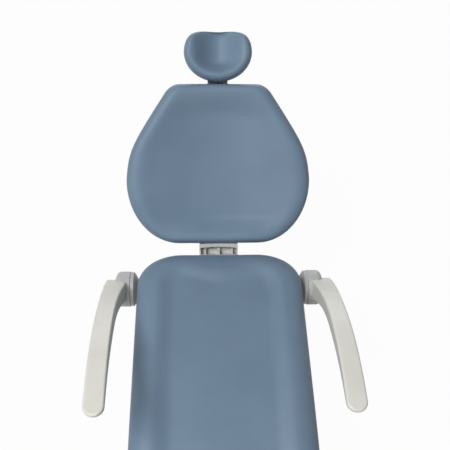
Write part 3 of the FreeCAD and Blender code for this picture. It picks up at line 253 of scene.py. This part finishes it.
# Screw drives of the lift and the back. Clear anodised barrels with fine turning lines, black
# gearmotor housings, bronze noses and bright rods that run in and out of them.
drive_tube = grained_finish("anodised_barrel", screen_colour(142, 144, 148), screen_colour(126, 129, 134),
                            roughness=0.34, spread=0.12, patch=30.0, grain=500.0, relief=0.00003,
                            stretch=(1, 12, 1), metallic=1.0)
rod_steel = grained_finish("polished_rod", screen_colour(164, 165, 168), screen_colour(144, 145, 149),
                           roughness=0.16, spread=0.1, patch=30.0, grain=700.0, relief=0.00001,
                           stretch=(1, 0.05, 1), metallic=1.0)
dress(drive_tube, "lift_actuator_barrel", "back_actuator_barrel")
dress(black_plastic, "lift_gearmotor", "back_gearmotor")
dress(bronze, "lift_rod_bush", "back_rod_bush")
dress(rod_steel, "lift_rod", "back_rod")

# Carriage and seat frame. Folded steel rails and cheeks in the grey coat, held together by steel
# bolts; the back's hinge shaft passes through the frame's rear ears.
dress(grey_coat, "lift_carriage", "seat_frame")
dress(pin_steel, "carriage_pins", "carriage_bolts", "back_hinge_shaft")

# Seat and back boards. Pressed birch plywood, oiled, screwed to the frames; the long grain runs
# with the chair and the plies show as bands on the cut edges.
birch = grained_finish("birch_plywood", screen_colour(206, 176, 132), screen_colour(184, 150, 104),
                       roughness=0.55, spread=0.12, patch=22.0, grain=160.0, relief=0.0001,
                       stretch=(3.0, 0.35, 9.0))
dress(birch, "seat_board", "back_board")

# Seat cushion. One long moulded foam pad under seamless blue vinyl, wrapped round the board and
# stapled beneath: rounded bolsters round a shallow dish, bending down at the knee.


def blue_vinyl_material():
    """Satin vinyl: pebbled grain from rounded cells and noise, faint mottling, and duller rubbed patches."""
    material = bpy.data.materials.new("blue_vinyl")
    material.use_nodes = True
    nodes, link = material.node_tree.nodes, material.node_tree.links.new
    shader = nodes["Principled BSDF"]
    shader.inputs["Specular IOR Level"].default_value = 0.3
    shader.inputs["Sheen Weight"].default_value = 0.06
    shader.inputs["Sheen Roughness"].default_value = 0.5
    place = nodes.new("ShaderNodeTexCoord")
    texture = grain_texture(nodes, screen_colour(110, 131, 151), screen_colour(105, 126, 147),
                            roughness=0.5, spread=0.1, patch=7.0, grain=900.0)
    pebbles = nodes.new("ShaderNodeTexVoronoi")
    pebbles.feature = "SMOOTH_F1"
    pebbles.inputs["Scale"].default_value = 620.0
    link(place.outputs["Object"], pebbles.inputs["Vector"])
    relief = nodes.new("ShaderNodeMath")
    relief.operation = "ADD"
    link(texture.outputs["Height"], relief.inputs[0])
    link(pebbles.outputs["Distance"], relief.inputs[1])
    bump = nodes.new("ShaderNodeBump")
    bump.inputs["Strength"].default_value = 0.35
    bump.inputs["Distance"].default_value = 0.00012
    link(relief.outputs[0], bump.inputs["Height"])
    link(texture.outputs["Colour"], shader.inputs["Base Color"])
    link(texture.outputs["Roughness"], shader.inputs["Roughness"])
    link(bump.outputs["Normal"], shader.inputs["Normal"])
    return material


def even_outline(side, points):
    """Closed outline with evenly spaced points from one half of it, mirrored in the middle plane."""
    run = np.concatenate([[0.0], np.cumsum(np.linalg.norm(np.diff(side, axis=0), axis=1))])
    at = np.linspace(0.0, run[-1], points // 2 + 1)
    half = np.column_stack([np.interp(at, run, side[:, 0]), np.interp(at, run, side[:, 1])])
    return np.vstack([half, half[-2:0:-1] * (-1, 1)])


def smooth_step(value, low, high):
    """0 below low, 1 above high, with the cubic 3s^2 - 2s^3 between them."""
    share = np.clip((value - low) / (high - low), 0.0, 1.0)
    return share * share * (3.0 - 2.0 * share)


FACE_RINGS, EDGE_RINGS, BACK_RINGS, FACE_CROWDING = 32, 12, 8, 1.15


def cushion_rings(outline, spine, crown, equator, base, edge, tuck, power=2.3):
    """Rings from the middle of a cushion's face, over its rounded edge, to the middle of its flat back.

    A ring's points lie on straight lines from the outline to the spine. On the face the height is the
    crown, over the edge it falls to the equator as a superellipse, and below that an ellipse draws the
    side in.
    """
    inward = spine - outline
    reach = np.linalg.norm(inward, axis=1)
    inward /= reach[:, None]
    share = np.linspace(1.0, 0.0, FACE_RINGS)[:, None] ** FACE_CROWDING
    behind = np.linspace(0.0, 1.0, BACK_RINGS + 1)[1:, None]
    turn = np.linspace(0.0, np.pi / 2, EDGE_RINGS + 1)[1:, None]
    grid = (EDGE_RINGS, len(reach))
    inset = np.vstack([edge + (reach - edge) * share,
                       np.broadcast_to(edge * (1.0 - np.sin(turn) ** (2 / power)), grid),
                       np.broadcast_to(tuck * (1.0 - np.cos(turn)), grid),
                       tuck + (reach - tuck) * behind])
    fall = np.vstack([np.ones_like(share), np.cos(turn) ** (2 / power), -np.sin(turn), -np.ones_like(behind)])
    plan = outline + inward * inset[:, :, None]
    top = crown(plan[:, :, 0], plan[:, :, 1])
    height = equator + np.where(fall > 0, top - equator, equator - base) * fall
    return np.dstack([plan, height])


SWELL_FRAMES, SWELL_PRESSURE, CLOTH_QUALITY, FOAM_PASSES = 12, 4.0, 4, 40


def swell_cover(pad, held, cap):
    """Swells a cover as cloth under air pressure, held where it is stapled, and keeps the shape it takes.

    The foam below bridges sharp folds, so each point's movement is averaged with its neighbours' over
    and over. A movement m is then cut to cap * m / (cap + m), which never passes the cap.
    """
    flat = np.empty(3 * len(pad.data.vertices))
    pad.data.vertices.foreach_get("co", flat)
    still = flat.reshape(-1, 3).copy()
    staples = pad.vertex_groups.new(name="stapled")
    staples.add(np.flatnonzero(held(still)).tolist(), 1.0, "REPLACE")
    cloth = pad.modifiers.new("cover", "CLOTH")
    cloth.settings.vertex_group_mass = "stapled"
    cloth.settings.quality = CLOTH_QUALITY
    cloth.settings.use_pressure = True
    cloth.settings.uniform_pressure_force = SWELL_PRESSURE
    cloth.settings.effector_weights.gravity = 0.0
    cloth.point_cache.frame_end = SWELL_FRAMES
    for number in range(1, SWELL_FRAMES + 1):
        bpy.context.scene.frame_set(number)
    swelled = pad.evaluated_get(bpy.context.evaluated_depsgraph_get()).to_mesh()
    swelled.vertices.foreach_get("co", flat)
    move = flat.reshape(-1, 3) - still
    ends = np.empty(2 * len(pad.data.edges), dtype=int)
    pad.data.edges.foreach_get("vertices", ends)
    first, second = ends.reshape(-1, 2).T
    shared = 2.0 * np.bincount(ends, minlength=len(still))[:, None]
    for _ in range(FOAM_PASSES):
        nearby = np.zeros_like(move)
        np.add.at(nearby, first, move[second])
        np.add.at(nearby, second, move[first])
        move = 0.5 * move + nearby / shared
    length = np.linalg.norm(move, axis=1)[:, None]
    pad.data.vertices.foreach_set("co", (still + move * cap / (cap + length)).ravel())
    pad.modifiers.remove(cloth)
    bpy.context.scene.frame_set(1)
    smooth = pad.modifiers.new("smooth", "SUBSURF")
    smooth.levels = smooth.render_levels = 1


seat_low, seat_high = (np.array(corner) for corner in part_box("seat_cushion"))
SEAT_HALF, REAR_OVERHANG = seat_high[0], 0.010
SEAT_REAR, SEAT_TOE = seat_high[1] + REAR_OVERHANG, seat_low[1]
SEAT_TOP, SEAT_THICK = 0.470, 0.080
SEAT_CORNER, REAR_CORNER_X, REAR_CORNER_Y = 0.105, 0.150, 0.118
SEAT_BOLSTER, SEAT_DISH, DISH_CORNER, DISH_WALL = 0.096, 0.012, 0.070, 0.060
REAR_ROLL, ROLL_SWELL, SWELL_HALF, SWELL_REACH = 0.072, 0.036, 0.085, 0.3
REAR_FALL, FALL_REACH, FALL_BOW, FALL_HALF, FALL_POWER = 0.013, 0.050, 0.058, 0.175, 1.6
KNEE_Y, KNEE_SLOPE, KNEE_SOFT = -0.38, math.tan(math.radians(12)), 0.09
SEAT_SPINE_END, SEAT_EQUATOR, SEAT_STAPLES, BOARD_GAP = 0.21, 0.050, 0.045, 0.0005
vinyl = blue_vinyl_material()


def seat_outline(points):
    """Rounded rectangle: straight sides, with quarter circles at the toe and quarter ellipses behind."""
    turn = np.linspace(0.0, np.pi / 2, 40)
    toe = np.column_stack([SEAT_HALF - SEAT_CORNER * (1 - np.sin(turn)),
                           SEAT_TOE + SEAT_CORNER * (1 - np.cos(turn))])
    rear = np.column_stack([SEAT_HALF - REAR_CORNER_X * (1 - np.cos(turn)),
                            SEAT_REAR - REAR_CORNER_Y * (1 - np.sin(turn))])
    return even_outline(np.vstack([[(0.0, SEAT_TOE)], toe, rear, [(0.0, SEAT_REAR)]]), points)


def seat_crown(x, y):
    """Bolster height less the dish: a smooth step across the wall, by distance inside a rounded rectangle.

    The rectangle's rear side is pushed forward in the middle by a bell curve, where the rear roll swells.
    Behind a bowed line, a parabola across the seat, the roll falls to the rear edge by a power of the share.
    """
    half_x = SEAT_HALF - SEAT_BOLSTER
    rear, toe = SEAT_REAR - REAR_ROLL, SEAT_TOE + SEAT_BOLSTER
    swelled = y + ROLL_SWELL * np.exp(-(x / SWELL_HALF) ** 2) * smooth_step(y, rear - SWELL_REACH, rear)
    over_x = np.abs(x) - half_x + DISH_CORNER
    over_y = np.abs(swelled - (rear + toe) / 2) - (rear - toe) / 2 + DISH_CORNER
    inside = DISH_CORNER - np.minimum(np.maximum(over_x, over_y), 0.0)
    inside -= np.hypot(np.maximum(over_x, 0.0), np.maximum(over_y, 0.0))
    fall_from = FALL_REACH + FALL_BOW * np.clip(1.0 - (x / FALL_HALF) ** 2, 0.0, 1.0)
    rear_fall = REAR_FALL * np.clip(1.0 - (SEAT_REAR - y) / fall_from, 0.0, 1.0) ** FALL_POWER
    return SEAT_TOP - SEAT_DISH * smooth_step(inside, -DISH_WALL / 2, DISH_WALL / 2) - rear_fall


def knee_fall(y):
    """Drop of the leg part: the knee's slope, rounded in by a hyperbola at the knee."""
    past = KNEE_Y - y
    return KNEE_SLOPE * (past + np.sqrt(past * past + KNEE_SOFT ** 2) - KNEE_SOFT) / 2


def under_seat(at):
    """True for points below the seat's staple line, measured with the knee's fall taken out."""
    return at[:, 2] + knee_fall(at[:, 1]) < SEAT_TOP - SEAT_STAPLES


outline = seat_outline(points=260)
along = np.clip(outline[:, 1], SEAT_TOE + SEAT_SPINE_END, SEAT_REAR - SEAT_SPINE_END)
rings = cushion_rings(outline, np.column_stack([0 * along, along]), seat_crown,
                      equator=SEAT_TOP - SEAT_EQUATOR, base=SEAT_TOP - SEAT_THICK + BOARD_GAP,
                      edge=0.066, tuck=0.016, power=2.05)
rings[:, :, 2] -= knee_fall(rings[:, :, 1])
seat_cushion = ring_mesh("seat_pad", rings, vinyl)
swell_cover(seat_cushion, under_seat, cap=0.002)
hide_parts("seat_cushion")
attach(seat_cushion, "seat")

# Seat skirts and leg shell. Thin off-white mouldings that close the frame's sides and the leg
# part's under side, below the board; three screws from the side hold each skirt.
SKIRT_SCREW_X, SKIRT_SCREW_Y, SKIRT_SCREW_Z = 0.246, (-0.315, -0.075, 0.135), 0.354
dress(cover_plastic, "left_seat_skirt", "right_seat_skirt", "leg_shell")
for word, side in (("left", 1), ("right", -1)):
    places = [(side * SKIRT_SCREW_X, y, SKIRT_SCREW_Z) for y in SKIRT_SCREW_Y]
    screws = ring_mesh(word + "_skirt_screws", screw_rings(places, (side, 0, 0), SCREW_RADIUS), plated_steel)
    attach(screws, "seat")

# Back support. An off-white coated casting that turns on the hinge shaft and carries the back board,
# with an arched lip and ribs where it shows between seat and back.
cast_white = grained_finish("cast_off_white", screen_colour(205, 206, 203), screen_colour(196, 197, 194),
                            roughness=0.44, spread=0.16, patch=12.0, grain=520.0, relief=0.00016)
dress(cast_white, "back_support")
dress(bronze, "back_hinge_bushes")
dress(pin_steel, "back_lever_pin")

# Back cushion and shell. Moulded foam under the same blue vinyl on the plywood board, rounded below
# and tapering straight to the top, with a soft rim round a broad dish; six screws hold the shell.
BACK_ORIGIN = np.array([0.0, 0.336, 0.439])
BACK_LEAN = math.radians(40)
BACK_UP = np.array([0.0, math.cos(BACK_LEAN), math.sin(BACK_LEAN)])
BACK_OUT = np.array([0.0, -math.sin(BACK_LEAN), math.cos(BACK_LEAN)])
BACK_HALF, BACK_FOOT, BACK_HEIGHT, BACK_WIDEST = 0.318, 0.135, 0.547, 0.219
BACK_THICK, BACK_SINK, BACK_DISH, BACK_RIM = 0.070, 0.006, 0.044, 0.042
TAPER_START, TAPER_SOFT, TAPER_SLOPE, TOP_CORNER = 0.095, 0.070, 0.345, 0.028
DISH_FOOT, DISH_SOFT, FADE_BELOW, FADE_TOP, FADE_ABOVE = 0.06, 0.16, 0.100, -0.010, 0.120
BACK_SPINE_LOW, BACK_SPINE_HIGH, PAD_EQUATOR, PAD_STAPLES = 0.22, 0.33, -0.036, -0.032
SHELL_SCREWS, SHELL_SCREW_OUT = ((0.125, 0.085), (0.215, 0.225), (0.125, 0.420)), -0.120


def round_in(distance, radius):
    """How far a quarter circle of this radius has drawn in at a distance from the end."""
    left = np.clip(radius - distance, 0.0, radius)
    return radius - np.sqrt(radius * radius - left * left)


def back_half_width(up):
    """Half an ellipse up to the widest line, then a taper that a hyperbola bends in."""
    drop = np.clip((BACK_WIDEST - up) / BACK_WIDEST, 0.0, 1.0)
    below = BACK_FOOT + (BACK_HALF - BACK_FOOT) * np.sqrt(1.0 - drop * drop)
    over = up - BACK_WIDEST - TAPER_START
    bend = over + np.hypot(over, TAPER_SOFT) + TAPER_START - math.hypot(TAPER_START, TAPER_SOFT)
    return np.where(up < BACK_WIDEST, below, BACK_HALF - TAPER_SLOPE * bend)


def back_outline(points):
    """The half width at each height, with round corners drawn in at the top."""
    up = BACK_HEIGHT * (1 - np.cos(np.linspace(0.0, np.pi, 400))) / 2
    half = back_half_width(up) - round_in(BACK_HEIGHT - up, TOP_CORNER)
    side = np.vstack([[(0.0, 0.0)], np.column_stack([half, up]), [(0.0, BACK_HEIGHT)]])
    return even_outline(side, points)


def soft_positive(value, softness):
    """The value where positive and 0 elsewhere, joined by a hyperbola."""
    return (value + np.hypot(value, softness)) / 2


def back_crown(x, up):
    """Face height less a trough across the back: a parabola from rim to rim, fading out above and below."""
    across = x / (back_half_width(np.clip(up, DISH_FOOT, BACK_HEIGHT)) - BACK_RIM)
    fade = smooth_step(up, 0.0, FADE_BELOW) * smooth_step(BACK_HEIGHT - up, FADE_TOP, FADE_ABOVE)
    return -BACK_DISH * soft_positive(1.0 - across * across, DISH_SOFT) * fade


def on_back(rings):
    """Places plan and height of the back's own frame in the chair."""
    return BACK_ORIGIN + rings[..., :1] * (1, 0, 0) + rings[..., 1:2] * BACK_UP + rings[..., 2:] * BACK_OUT


def behind_staples(at):
    """True for points behind the staple line, by their height over the back's face."""
    return (at - BACK_ORIGIN) @ BACK_OUT < PAD_STAPLES


outline = back_outline(points=220)
along = np.clip(outline[:, 1], BACK_SPINE_LOW, BACK_SPINE_HIGH)
rings = cushion_rings(outline, np.column_stack([0 * along, along]), back_crown,
                      equator=PAD_EQUATOR, base=-BACK_THICK + BOARD_GAP, edge=0.042, tuck=0.014)
rings[:, :, 1] -= BACK_SINK
back_cushion = ring_mesh("back_pad", on_back(rings), vinyl)
swell_cover(back_cushion, behind_staples, cap=0.003)
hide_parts("back_cushion")
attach(back_cushion, "backrest")
dress(cover_plastic, "back_shell")
places = on_back(np.array([(side * x, up, SHELL_SCREW_OUT) for side in (-1, 1) for x, up in SHELL_SCREWS]))
shell_screws = ring_mesh("shell_screws", screw_rings(places, -BACK_OUT, SCREW_RADIUS), plated_steel)
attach(shell_screws, "backrest")

# Headrest carrier. A bright flat bar slides in a black guide behind the back; a double-hinged link
# with a black knob tilts the coated plate that the headrest is screwed to.
bar_steel = grained_finish("brushed_bar", screen_colour(172, 173, 175), screen_colour(150, 151, 154),
                           roughness=0.26, spread=0.18, patch=30.0, grain=800.0, relief=0.00002,
                           stretch=(1, 0.04, 0.04), metallic=1.0)
dress(bar_steel, "glide_bar")
dress(black_plastic, "headrest_guide", "guide_bezel", "headrest_lock_knob")
dress(drive_tube, "headrest_link")
dress(grey_coat, "bar_knuckle", "headrest_plate")
dress(pin_steel, "bar_knuckle_pin", "headrest_plate_pin")

# Headrest cushion. A small kidney-shaped foam pad under the blue vinyl, hollowed for the head, with
# two soft lobes on its upper edge; it is screwed to the plate behind it.
HEAD_HALF, HEAD_LINE, HEAD_BELOW, HEAD_ABOVE = 0.116, 0.647, 0.098, 0.070
HEAD_DIP, DIP_REACH, LOBE_POWER = 0.003, 0.032, 5.0
HEAD_THICK, HEAD_RIM, TROUGH_SLOPE, TROUGH_SOFT, TROUGH_GAIN = 0.072, 0.026, 0.92, 0.046, 0.3
WALL_SLOPE, WALL_BLEND, CREST_SOFT = 1.2, 0.014, 0.010
HEAD_SPINE_HALF, HEAD_SPINE_UP = 0.03, 0.636


def head_outline(points):
    """Half ellipse below the widest line and a squarer superellipse above it, dipped in the middle."""
    turn = np.linspace(0.0, np.pi / 2, 300)
    below = np.column_stack([HEAD_HALF * np.sin(turn), HEAD_LINE - HEAD_BELOW * np.cos(turn)])
    across = HEAD_HALF * np.cos(turn) ** (2 / LOBE_POWER)
    dip = HEAD_DIP * np.exp(-(across / DIP_REACH) ** 2)
    above = np.column_stack([across, HEAD_LINE + HEAD_ABOVE * np.sin(turn) - dip])
    return even_outline(np.vstack([below, above]), points)


def head_crown(x, up):
    """Rim height less a trough: two slopes that meet in a rounded bottom, open above, walled in below.

    The wall rises towards an ellipse inside the lower edge; the shallower of trough and wall counts. Part
    of the depth that the rounding takes is given back.
    """
    crest = HEAD_HALF - HEAD_RIM
    trough = TROUGH_SLOPE * (crest - np.hypot(x, TROUGH_SOFT) + TROUGH_GAIN * TROUGH_SOFT)
    below = np.maximum(HEAD_LINE - up, 0.0) / (HEAD_BELOW - HEAD_RIM)
    wall = WALL_SLOPE * crest * (1.0 - np.hypot(x / crest, below))
    lower = trough - soft_positive(trough - wall, WALL_BLEND)
    return -soft_positive(lower, CREST_SOFT)


outline = head_outline(points=180)
across = HEAD_SPINE_HALF * np.sin(np.linspace(0.0, 2 * np.pi, len(outline), endpoint=False))
rings = cushion_rings(outline, np.column_stack([across, np.full_like(across, HEAD_SPINE_UP)]), head_crown,
                      equator=PAD_EQUATOR, base=-HEAD_THICK + BOARD_GAP, edge=0.026, tuck=0.012)
head_cushion = ring_mesh("headrest_pad", on_back(rings), vinyl)
swell_cover(head_cushion, behind_staples, cap=0.002)
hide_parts("headrest_cushion")
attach(head_cushion, "headrest")

# Armrests and hubs. Each arm is one off-white moulding that sweeps up from a pale grey drum and
# forward to a round tip; the drum turns on an axle in a fixed collar on a neck from the seat frame.
arm_plastic = grained_finish("arm_moulding", screen_colour(224, 222, 214), screen_colour(217, 215, 206),
                             roughness=0.36, spread=0.12, patch=8.0, grain=1200.0, relief=0.00005)
hub_grey = grained_finish("hub_moulding", screen_colour(186, 187, 186), screen_colour(177, 178, 177),
                          roughness=0.44, spread=0.12, patch=14.0, grain=1200.0, relief=0.00006)
ARM_ROOT = np.array([0.345, 0.194, 0.362])
ARM_BEND = np.array([0.355, 0.035, 0.600])
ARM_TIP = np.array([0.336, -0.335, 0.661])
ARM_WIDTH, ARM_ROOT_WIDTH = 0.056, 0.076
ARM_THICK, ARM_ROOT_THICK, ARM_TIP_THICK = 0.042, 0.074, 0.014
ARM_EDGE, ARM_END, EDGE_SHARE = 0.006, 0.004, 0.8
ROOT_RINGS, RUN_RINGS, TIP_CROWDING, ROOT_TURN = 16, 90, 1.8, 0.49 * np.pi
HUB_SHARE, HUB_POWER, THIN_FROM, THIN_POWER = 0.45, 1.6, 0.55, 1.5
TIP_ROUND, TIP_ROUNDING = 0.008, 0.6
PIVOT, PIVOT_SCREW_RADIUS = (0.383, 0.205, 0.352), 0.011


def bar_section():
    """Unit rounded rectangle: each point's place on an inner rectangle, -1 to 1 each way, and its way out."""
    arc = np.linspace(0.0, np.pi / 2, 9)
    run = np.linspace(1.0, -1.0, 9)[1:-1]
    still = np.ones_like(run)
    place, turn = [], []
    for quarter, (p, q) in enumerate(((1, 1), (-1, 1), (-1, -1), (1, -1))):
        angle = arc + quarter * np.pi / 2
        place.append(np.tile((p, q), (len(arc), 1)))
        turn.append(np.column_stack([np.cos(angle), np.sin(angle)]))
        over_and_under = quarter % 2 == 0
        place.append(np.column_stack([p * run, q * still] if over_and_under else [p * still, q * run]))
        turn.append(np.tile(turn[-1][-1], (len(run), 1)))
    return np.vstack(place), np.vstack(turn)


def arm_rings(side):
    """Rounded rectangle carried along a parabola: wide and deep at the hub, thinning to a round tip.

    It thins from below. Behind its start the depth follows a half circle, so it ends round on the drum.
    """
    run = 1.0 - np.linspace(1.0, 0.0, RUN_RINGS)[1:] ** TIP_CROWDING
    share = np.concatenate([np.zeros(ROOT_RINGS), run])
    t = share[:, None]
    centre = ARM_ROOT * (1 - t) ** 2 + ARM_BEND * (2 * t * (1 - t)) + ARM_TIP * t ** 2
    way = (ARM_BEND - ARM_ROOT) * (1 - t) + (ARM_TIP - ARM_BEND) * t
    way[:, 0] = 0.0
    way /= np.linalg.norm(way, axis=1)[:, None]
    rise = np.column_stack([0 * share, way[:, 2], -way[:, 1]])
    left = np.linalg.norm(ARM_TIP - centre, axis=1)
    near_hub = np.clip(1 - share / HUB_SHARE, 0, 1) ** HUB_POWER
    drop = (ARM_THICK - ARM_TIP_THICK) * np.clip((share - THIN_FROM) / (1 - THIN_FROM), 0, 1) ** THIN_POWER
    half = ARM_WIDTH / 2 + (ARM_ROOT_WIDTH - ARM_WIDTH) / 2 * near_hub
    half -= round_in(left, half)
    tall = ARM_THICK / 2 + (ARM_ROOT_THICK - ARM_THICK) / 2 * near_hub - drop / 2
    tall -= TIP_ROUNDING * round_in(left, TIP_ROUND)
    bow = np.zeros_like(share)
    bow[:ROOT_RINGS] = np.linspace(ROOT_TURN, 0.0, ROOT_RINGS)
    centre = centre + rise * drop[:, None] / 2 - way * (tall * np.sin(bow))[:, None]
    half -= ARM_END * (1 - np.cos(bow))
    tall *= np.cos(bow)
    edge = np.minimum(ARM_EDGE, EDGE_SHARE * np.minimum(half, tall))
    place, turn = bar_section()
    across = place[:, 0] * (half - edge)[:, None] + turn[:, 0] * edge[:, None]
    over = place[:, 1] * (tall - edge)[:, None] + turn[:, 1] * edge[:, None]
    points = centre[:, None, :] + across[:, :, None] * (1, 0, 0) + rise[:, None, :] * over[:, :, None]
    root = np.broadcast_to(points[:1].mean(axis=1, keepdims=True), points[:1].shape)
    return np.concatenate([root, points]) * (side, 1, 1)


for word, side in (("left", 1), ("right", -1)):
    arm = ring_mesh(word + "_armrest", arm_rings(side), arm_plastic)
    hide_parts(word + "_arm")
    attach(arm, word + "_arm")
    dress(hub_grey, word + "_hub_drum", word + "_hub_collar")
    dress(black_plastic, word + "_arm_boss")
    dress(pin_steel, word + "_arm_axle")
    head = screw_rings([np.multiply(PIVOT, (side, 1, 1))], (side, 0, 0), PIVOT_SCREW_RADIUS)
    pivot = ring_mesh(word + "_pivot_screw", head, plated_steel)
    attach(pivot, word + "_arm")

# Stage. A plain white floor that keeps a faint shadow, a soft key light from the sitter's right and
# above, weak lamps in front and behind, and the camera over the foot end, looking down at the back.
FLOOR_HALF, FLOOR_TOP, FLOOR_GREY, WHITE_SHARE = 14.0, -0.0005, (0.5, 0.5, 0.5, 1), 0.97
SKY_TINT, SKY_STRENGTH, WHITE = (0.96, 0.98, 1.0, 1), 0.17, (1, 1, 1, 1)


def seen_mask(nodes, link):
    """1 for rays from the camera or off glossy and clear surfaces, by the largest of the three flags."""
    path = nodes.new("ShaderNodeLightPath")
    first = nodes.new("ShaderNodeMath")
    first.operation = "MAXIMUM"
    link(path.outputs["Is Camera Ray"], first.inputs[0])
    link(path.outputs["Is Glossy Ray"], first.inputs[1])
    second = nodes.new("ShaderNodeMath")
    second.operation = "MAXIMUM"
    link(first.outputs[0], second.inputs[0])
    link(path.outputs["Is Transmission Ray"], second.inputs[1])
    return second.outputs[0]


floor_mesh = bpy.data.meshes.new("floor")
corners = [(i * FLOOR_HALF, j * FLOOR_HALF, FLOOR_TOP) for i, j in ((-1, -1), (1, -1), (1, 1), (-1, 1))]
floor_mesh.from_pydata(corners, [], [(0, 1, 2, 3)])
floor = bpy.data.objects.new("floor", floor_mesh)
bpy.context.collection.objects.link(floor)
floor_paint = bpy.data.materials.new("white_floor")
floor_paint.use_nodes = True
nodes, link = floor_paint.node_tree.nodes, floor_paint.node_tree.links.new
nodes.remove(nodes["Principled BSDF"])
matt = nodes.new("ShaderNodeBsdfDiffuse")
matt.inputs["Color"].default_value = FLOOR_GREY
glow = nodes.new("ShaderNodeEmission")
glow.inputs["Color"].default_value = WHITE
glow.inputs["Strength"].default_value = 1.0
part_seen = nodes.new("ShaderNodeMath")
part_seen.operation = "MULTIPLY"
part_seen.inputs[1].default_value = WHITE_SHARE
link(seen_mask(nodes, link), part_seen.inputs[0])
mix = nodes.new("ShaderNodeMixShader")
link(part_seen.outputs[0], mix.inputs["Fac"])
link(matt.outputs[0], mix.inputs[1])
link(glow.outputs[0], mix.inputs[2])
link(mix.outputs[0], nodes["Material Output"].inputs["Surface"])
floor_mesh.materials.append(floor_paint)

world = bpy.data.worlds.new("studio")
bpy.context.scene.world = world
world.use_nodes = True
nodes, link = world.node_tree.nodes, world.node_tree.links.new
soft_sky = nodes["Background"]
soft_sky.inputs["Color"].default_value = SKY_TINT
soft_sky.inputs["Strength"].default_value = SKY_STRENGTH
white_sky = nodes.new("ShaderNodeBackground")
white_sky.inputs["Color"].default_value = WHITE
white_sky.inputs["Strength"].default_value = 1.0
mix = nodes.new("ShaderNodeMixShader")
link(seen_mask(nodes, link), mix.inputs["Fac"])
link(soft_sky.outputs[0], mix.inputs[1])
link(white_sky.outputs[0], mix.inputs[2])
link(mix.outputs[0], nodes["World Output"].inputs["Surface"])

AIM = np.array([0.0, 0.1, 0.55])


def soft_lamp(name, place, size, power):
    """Square area lamp at a place, turned to the middle of the chair."""
    light = bpy.data.lights.new(name, "AREA")
    light.shape = "SQUARE"
    light.size = size
    light.energy = power
    lamp = bpy.data.objects.new(name, light)
    back = np.array(place) - AIM
    back /= np.linalg.norm(back)
    right = np.cross((0.0, 0.0, 1.0), back)
    right /= np.linalg.norm(right)
    turn = np.eye(4)
    turn[:3, 0], turn[:3, 1], turn[:3, 2], turn[:3, 3] = right, np.cross(back, right), back, place
    lamp.matrix_world = Matrix(turn.tolist())
    bpy.context.collection.objects.link(lamp)


soft_lamp("key", place=(-2.6, -1.0, 5.3), size=2.6, power=240.0)
soft_lamp("front", place=(-0.4, -4.0, 2.4), size=2.0, power=40.0)
soft_lamp("rear", place=(0.2, 4.6, 1.2), size=2.4, power=60.0)

CAMERA_PLACE = np.array([-0.0635, -0.822, 2.2347])
CAMERA_PITCH, CAMERA_YAW, CAMERA_ROLL = (math.radians(angle) for angle in (55.51, 4.03, 2.97))
FOCAL_PIXELS, FRAME_PIXELS, SENSOR = 620.0, 450.0, 36.0
view = bpy.data.cameras.new("view")
view.sensor_width = SENSOR
view.lens = SENSOR * FOCAL_PIXELS / FRAME_PIXELS
camera = bpy.data.objects.new("view", view)
ahead = np.array([math.sin(CAMERA_YAW) * math.cos(CAMERA_PITCH),
                  math.cos(CAMERA_YAW) * math.cos(CAMERA_PITCH), -math.sin(CAMERA_PITCH)])
level = np.array([math.cos(CAMERA_YAW), -math.sin(CAMERA_YAW), 0.0])
upward = np.cross(level, ahead)
turn = np.eye(4)
turn[:3, 0] = math.cos(CAMERA_ROLL) * level + math.sin(CAMERA_ROLL) * upward
turn[:3, 1] = math.cos(CAMERA_ROLL) * upward - math.sin(CAMERA_ROLL) * level
turn[:3, 2] = -ahead
turn[:3, 3] = CAMERA_PLACE
camera.matrix_world = Matrix(turn.tolist())
bpy.context.collection.objects.link(camera)
bpy.context.scene.camera = camera
bpy.context.scene.view_settings.view_transform = "Standard"
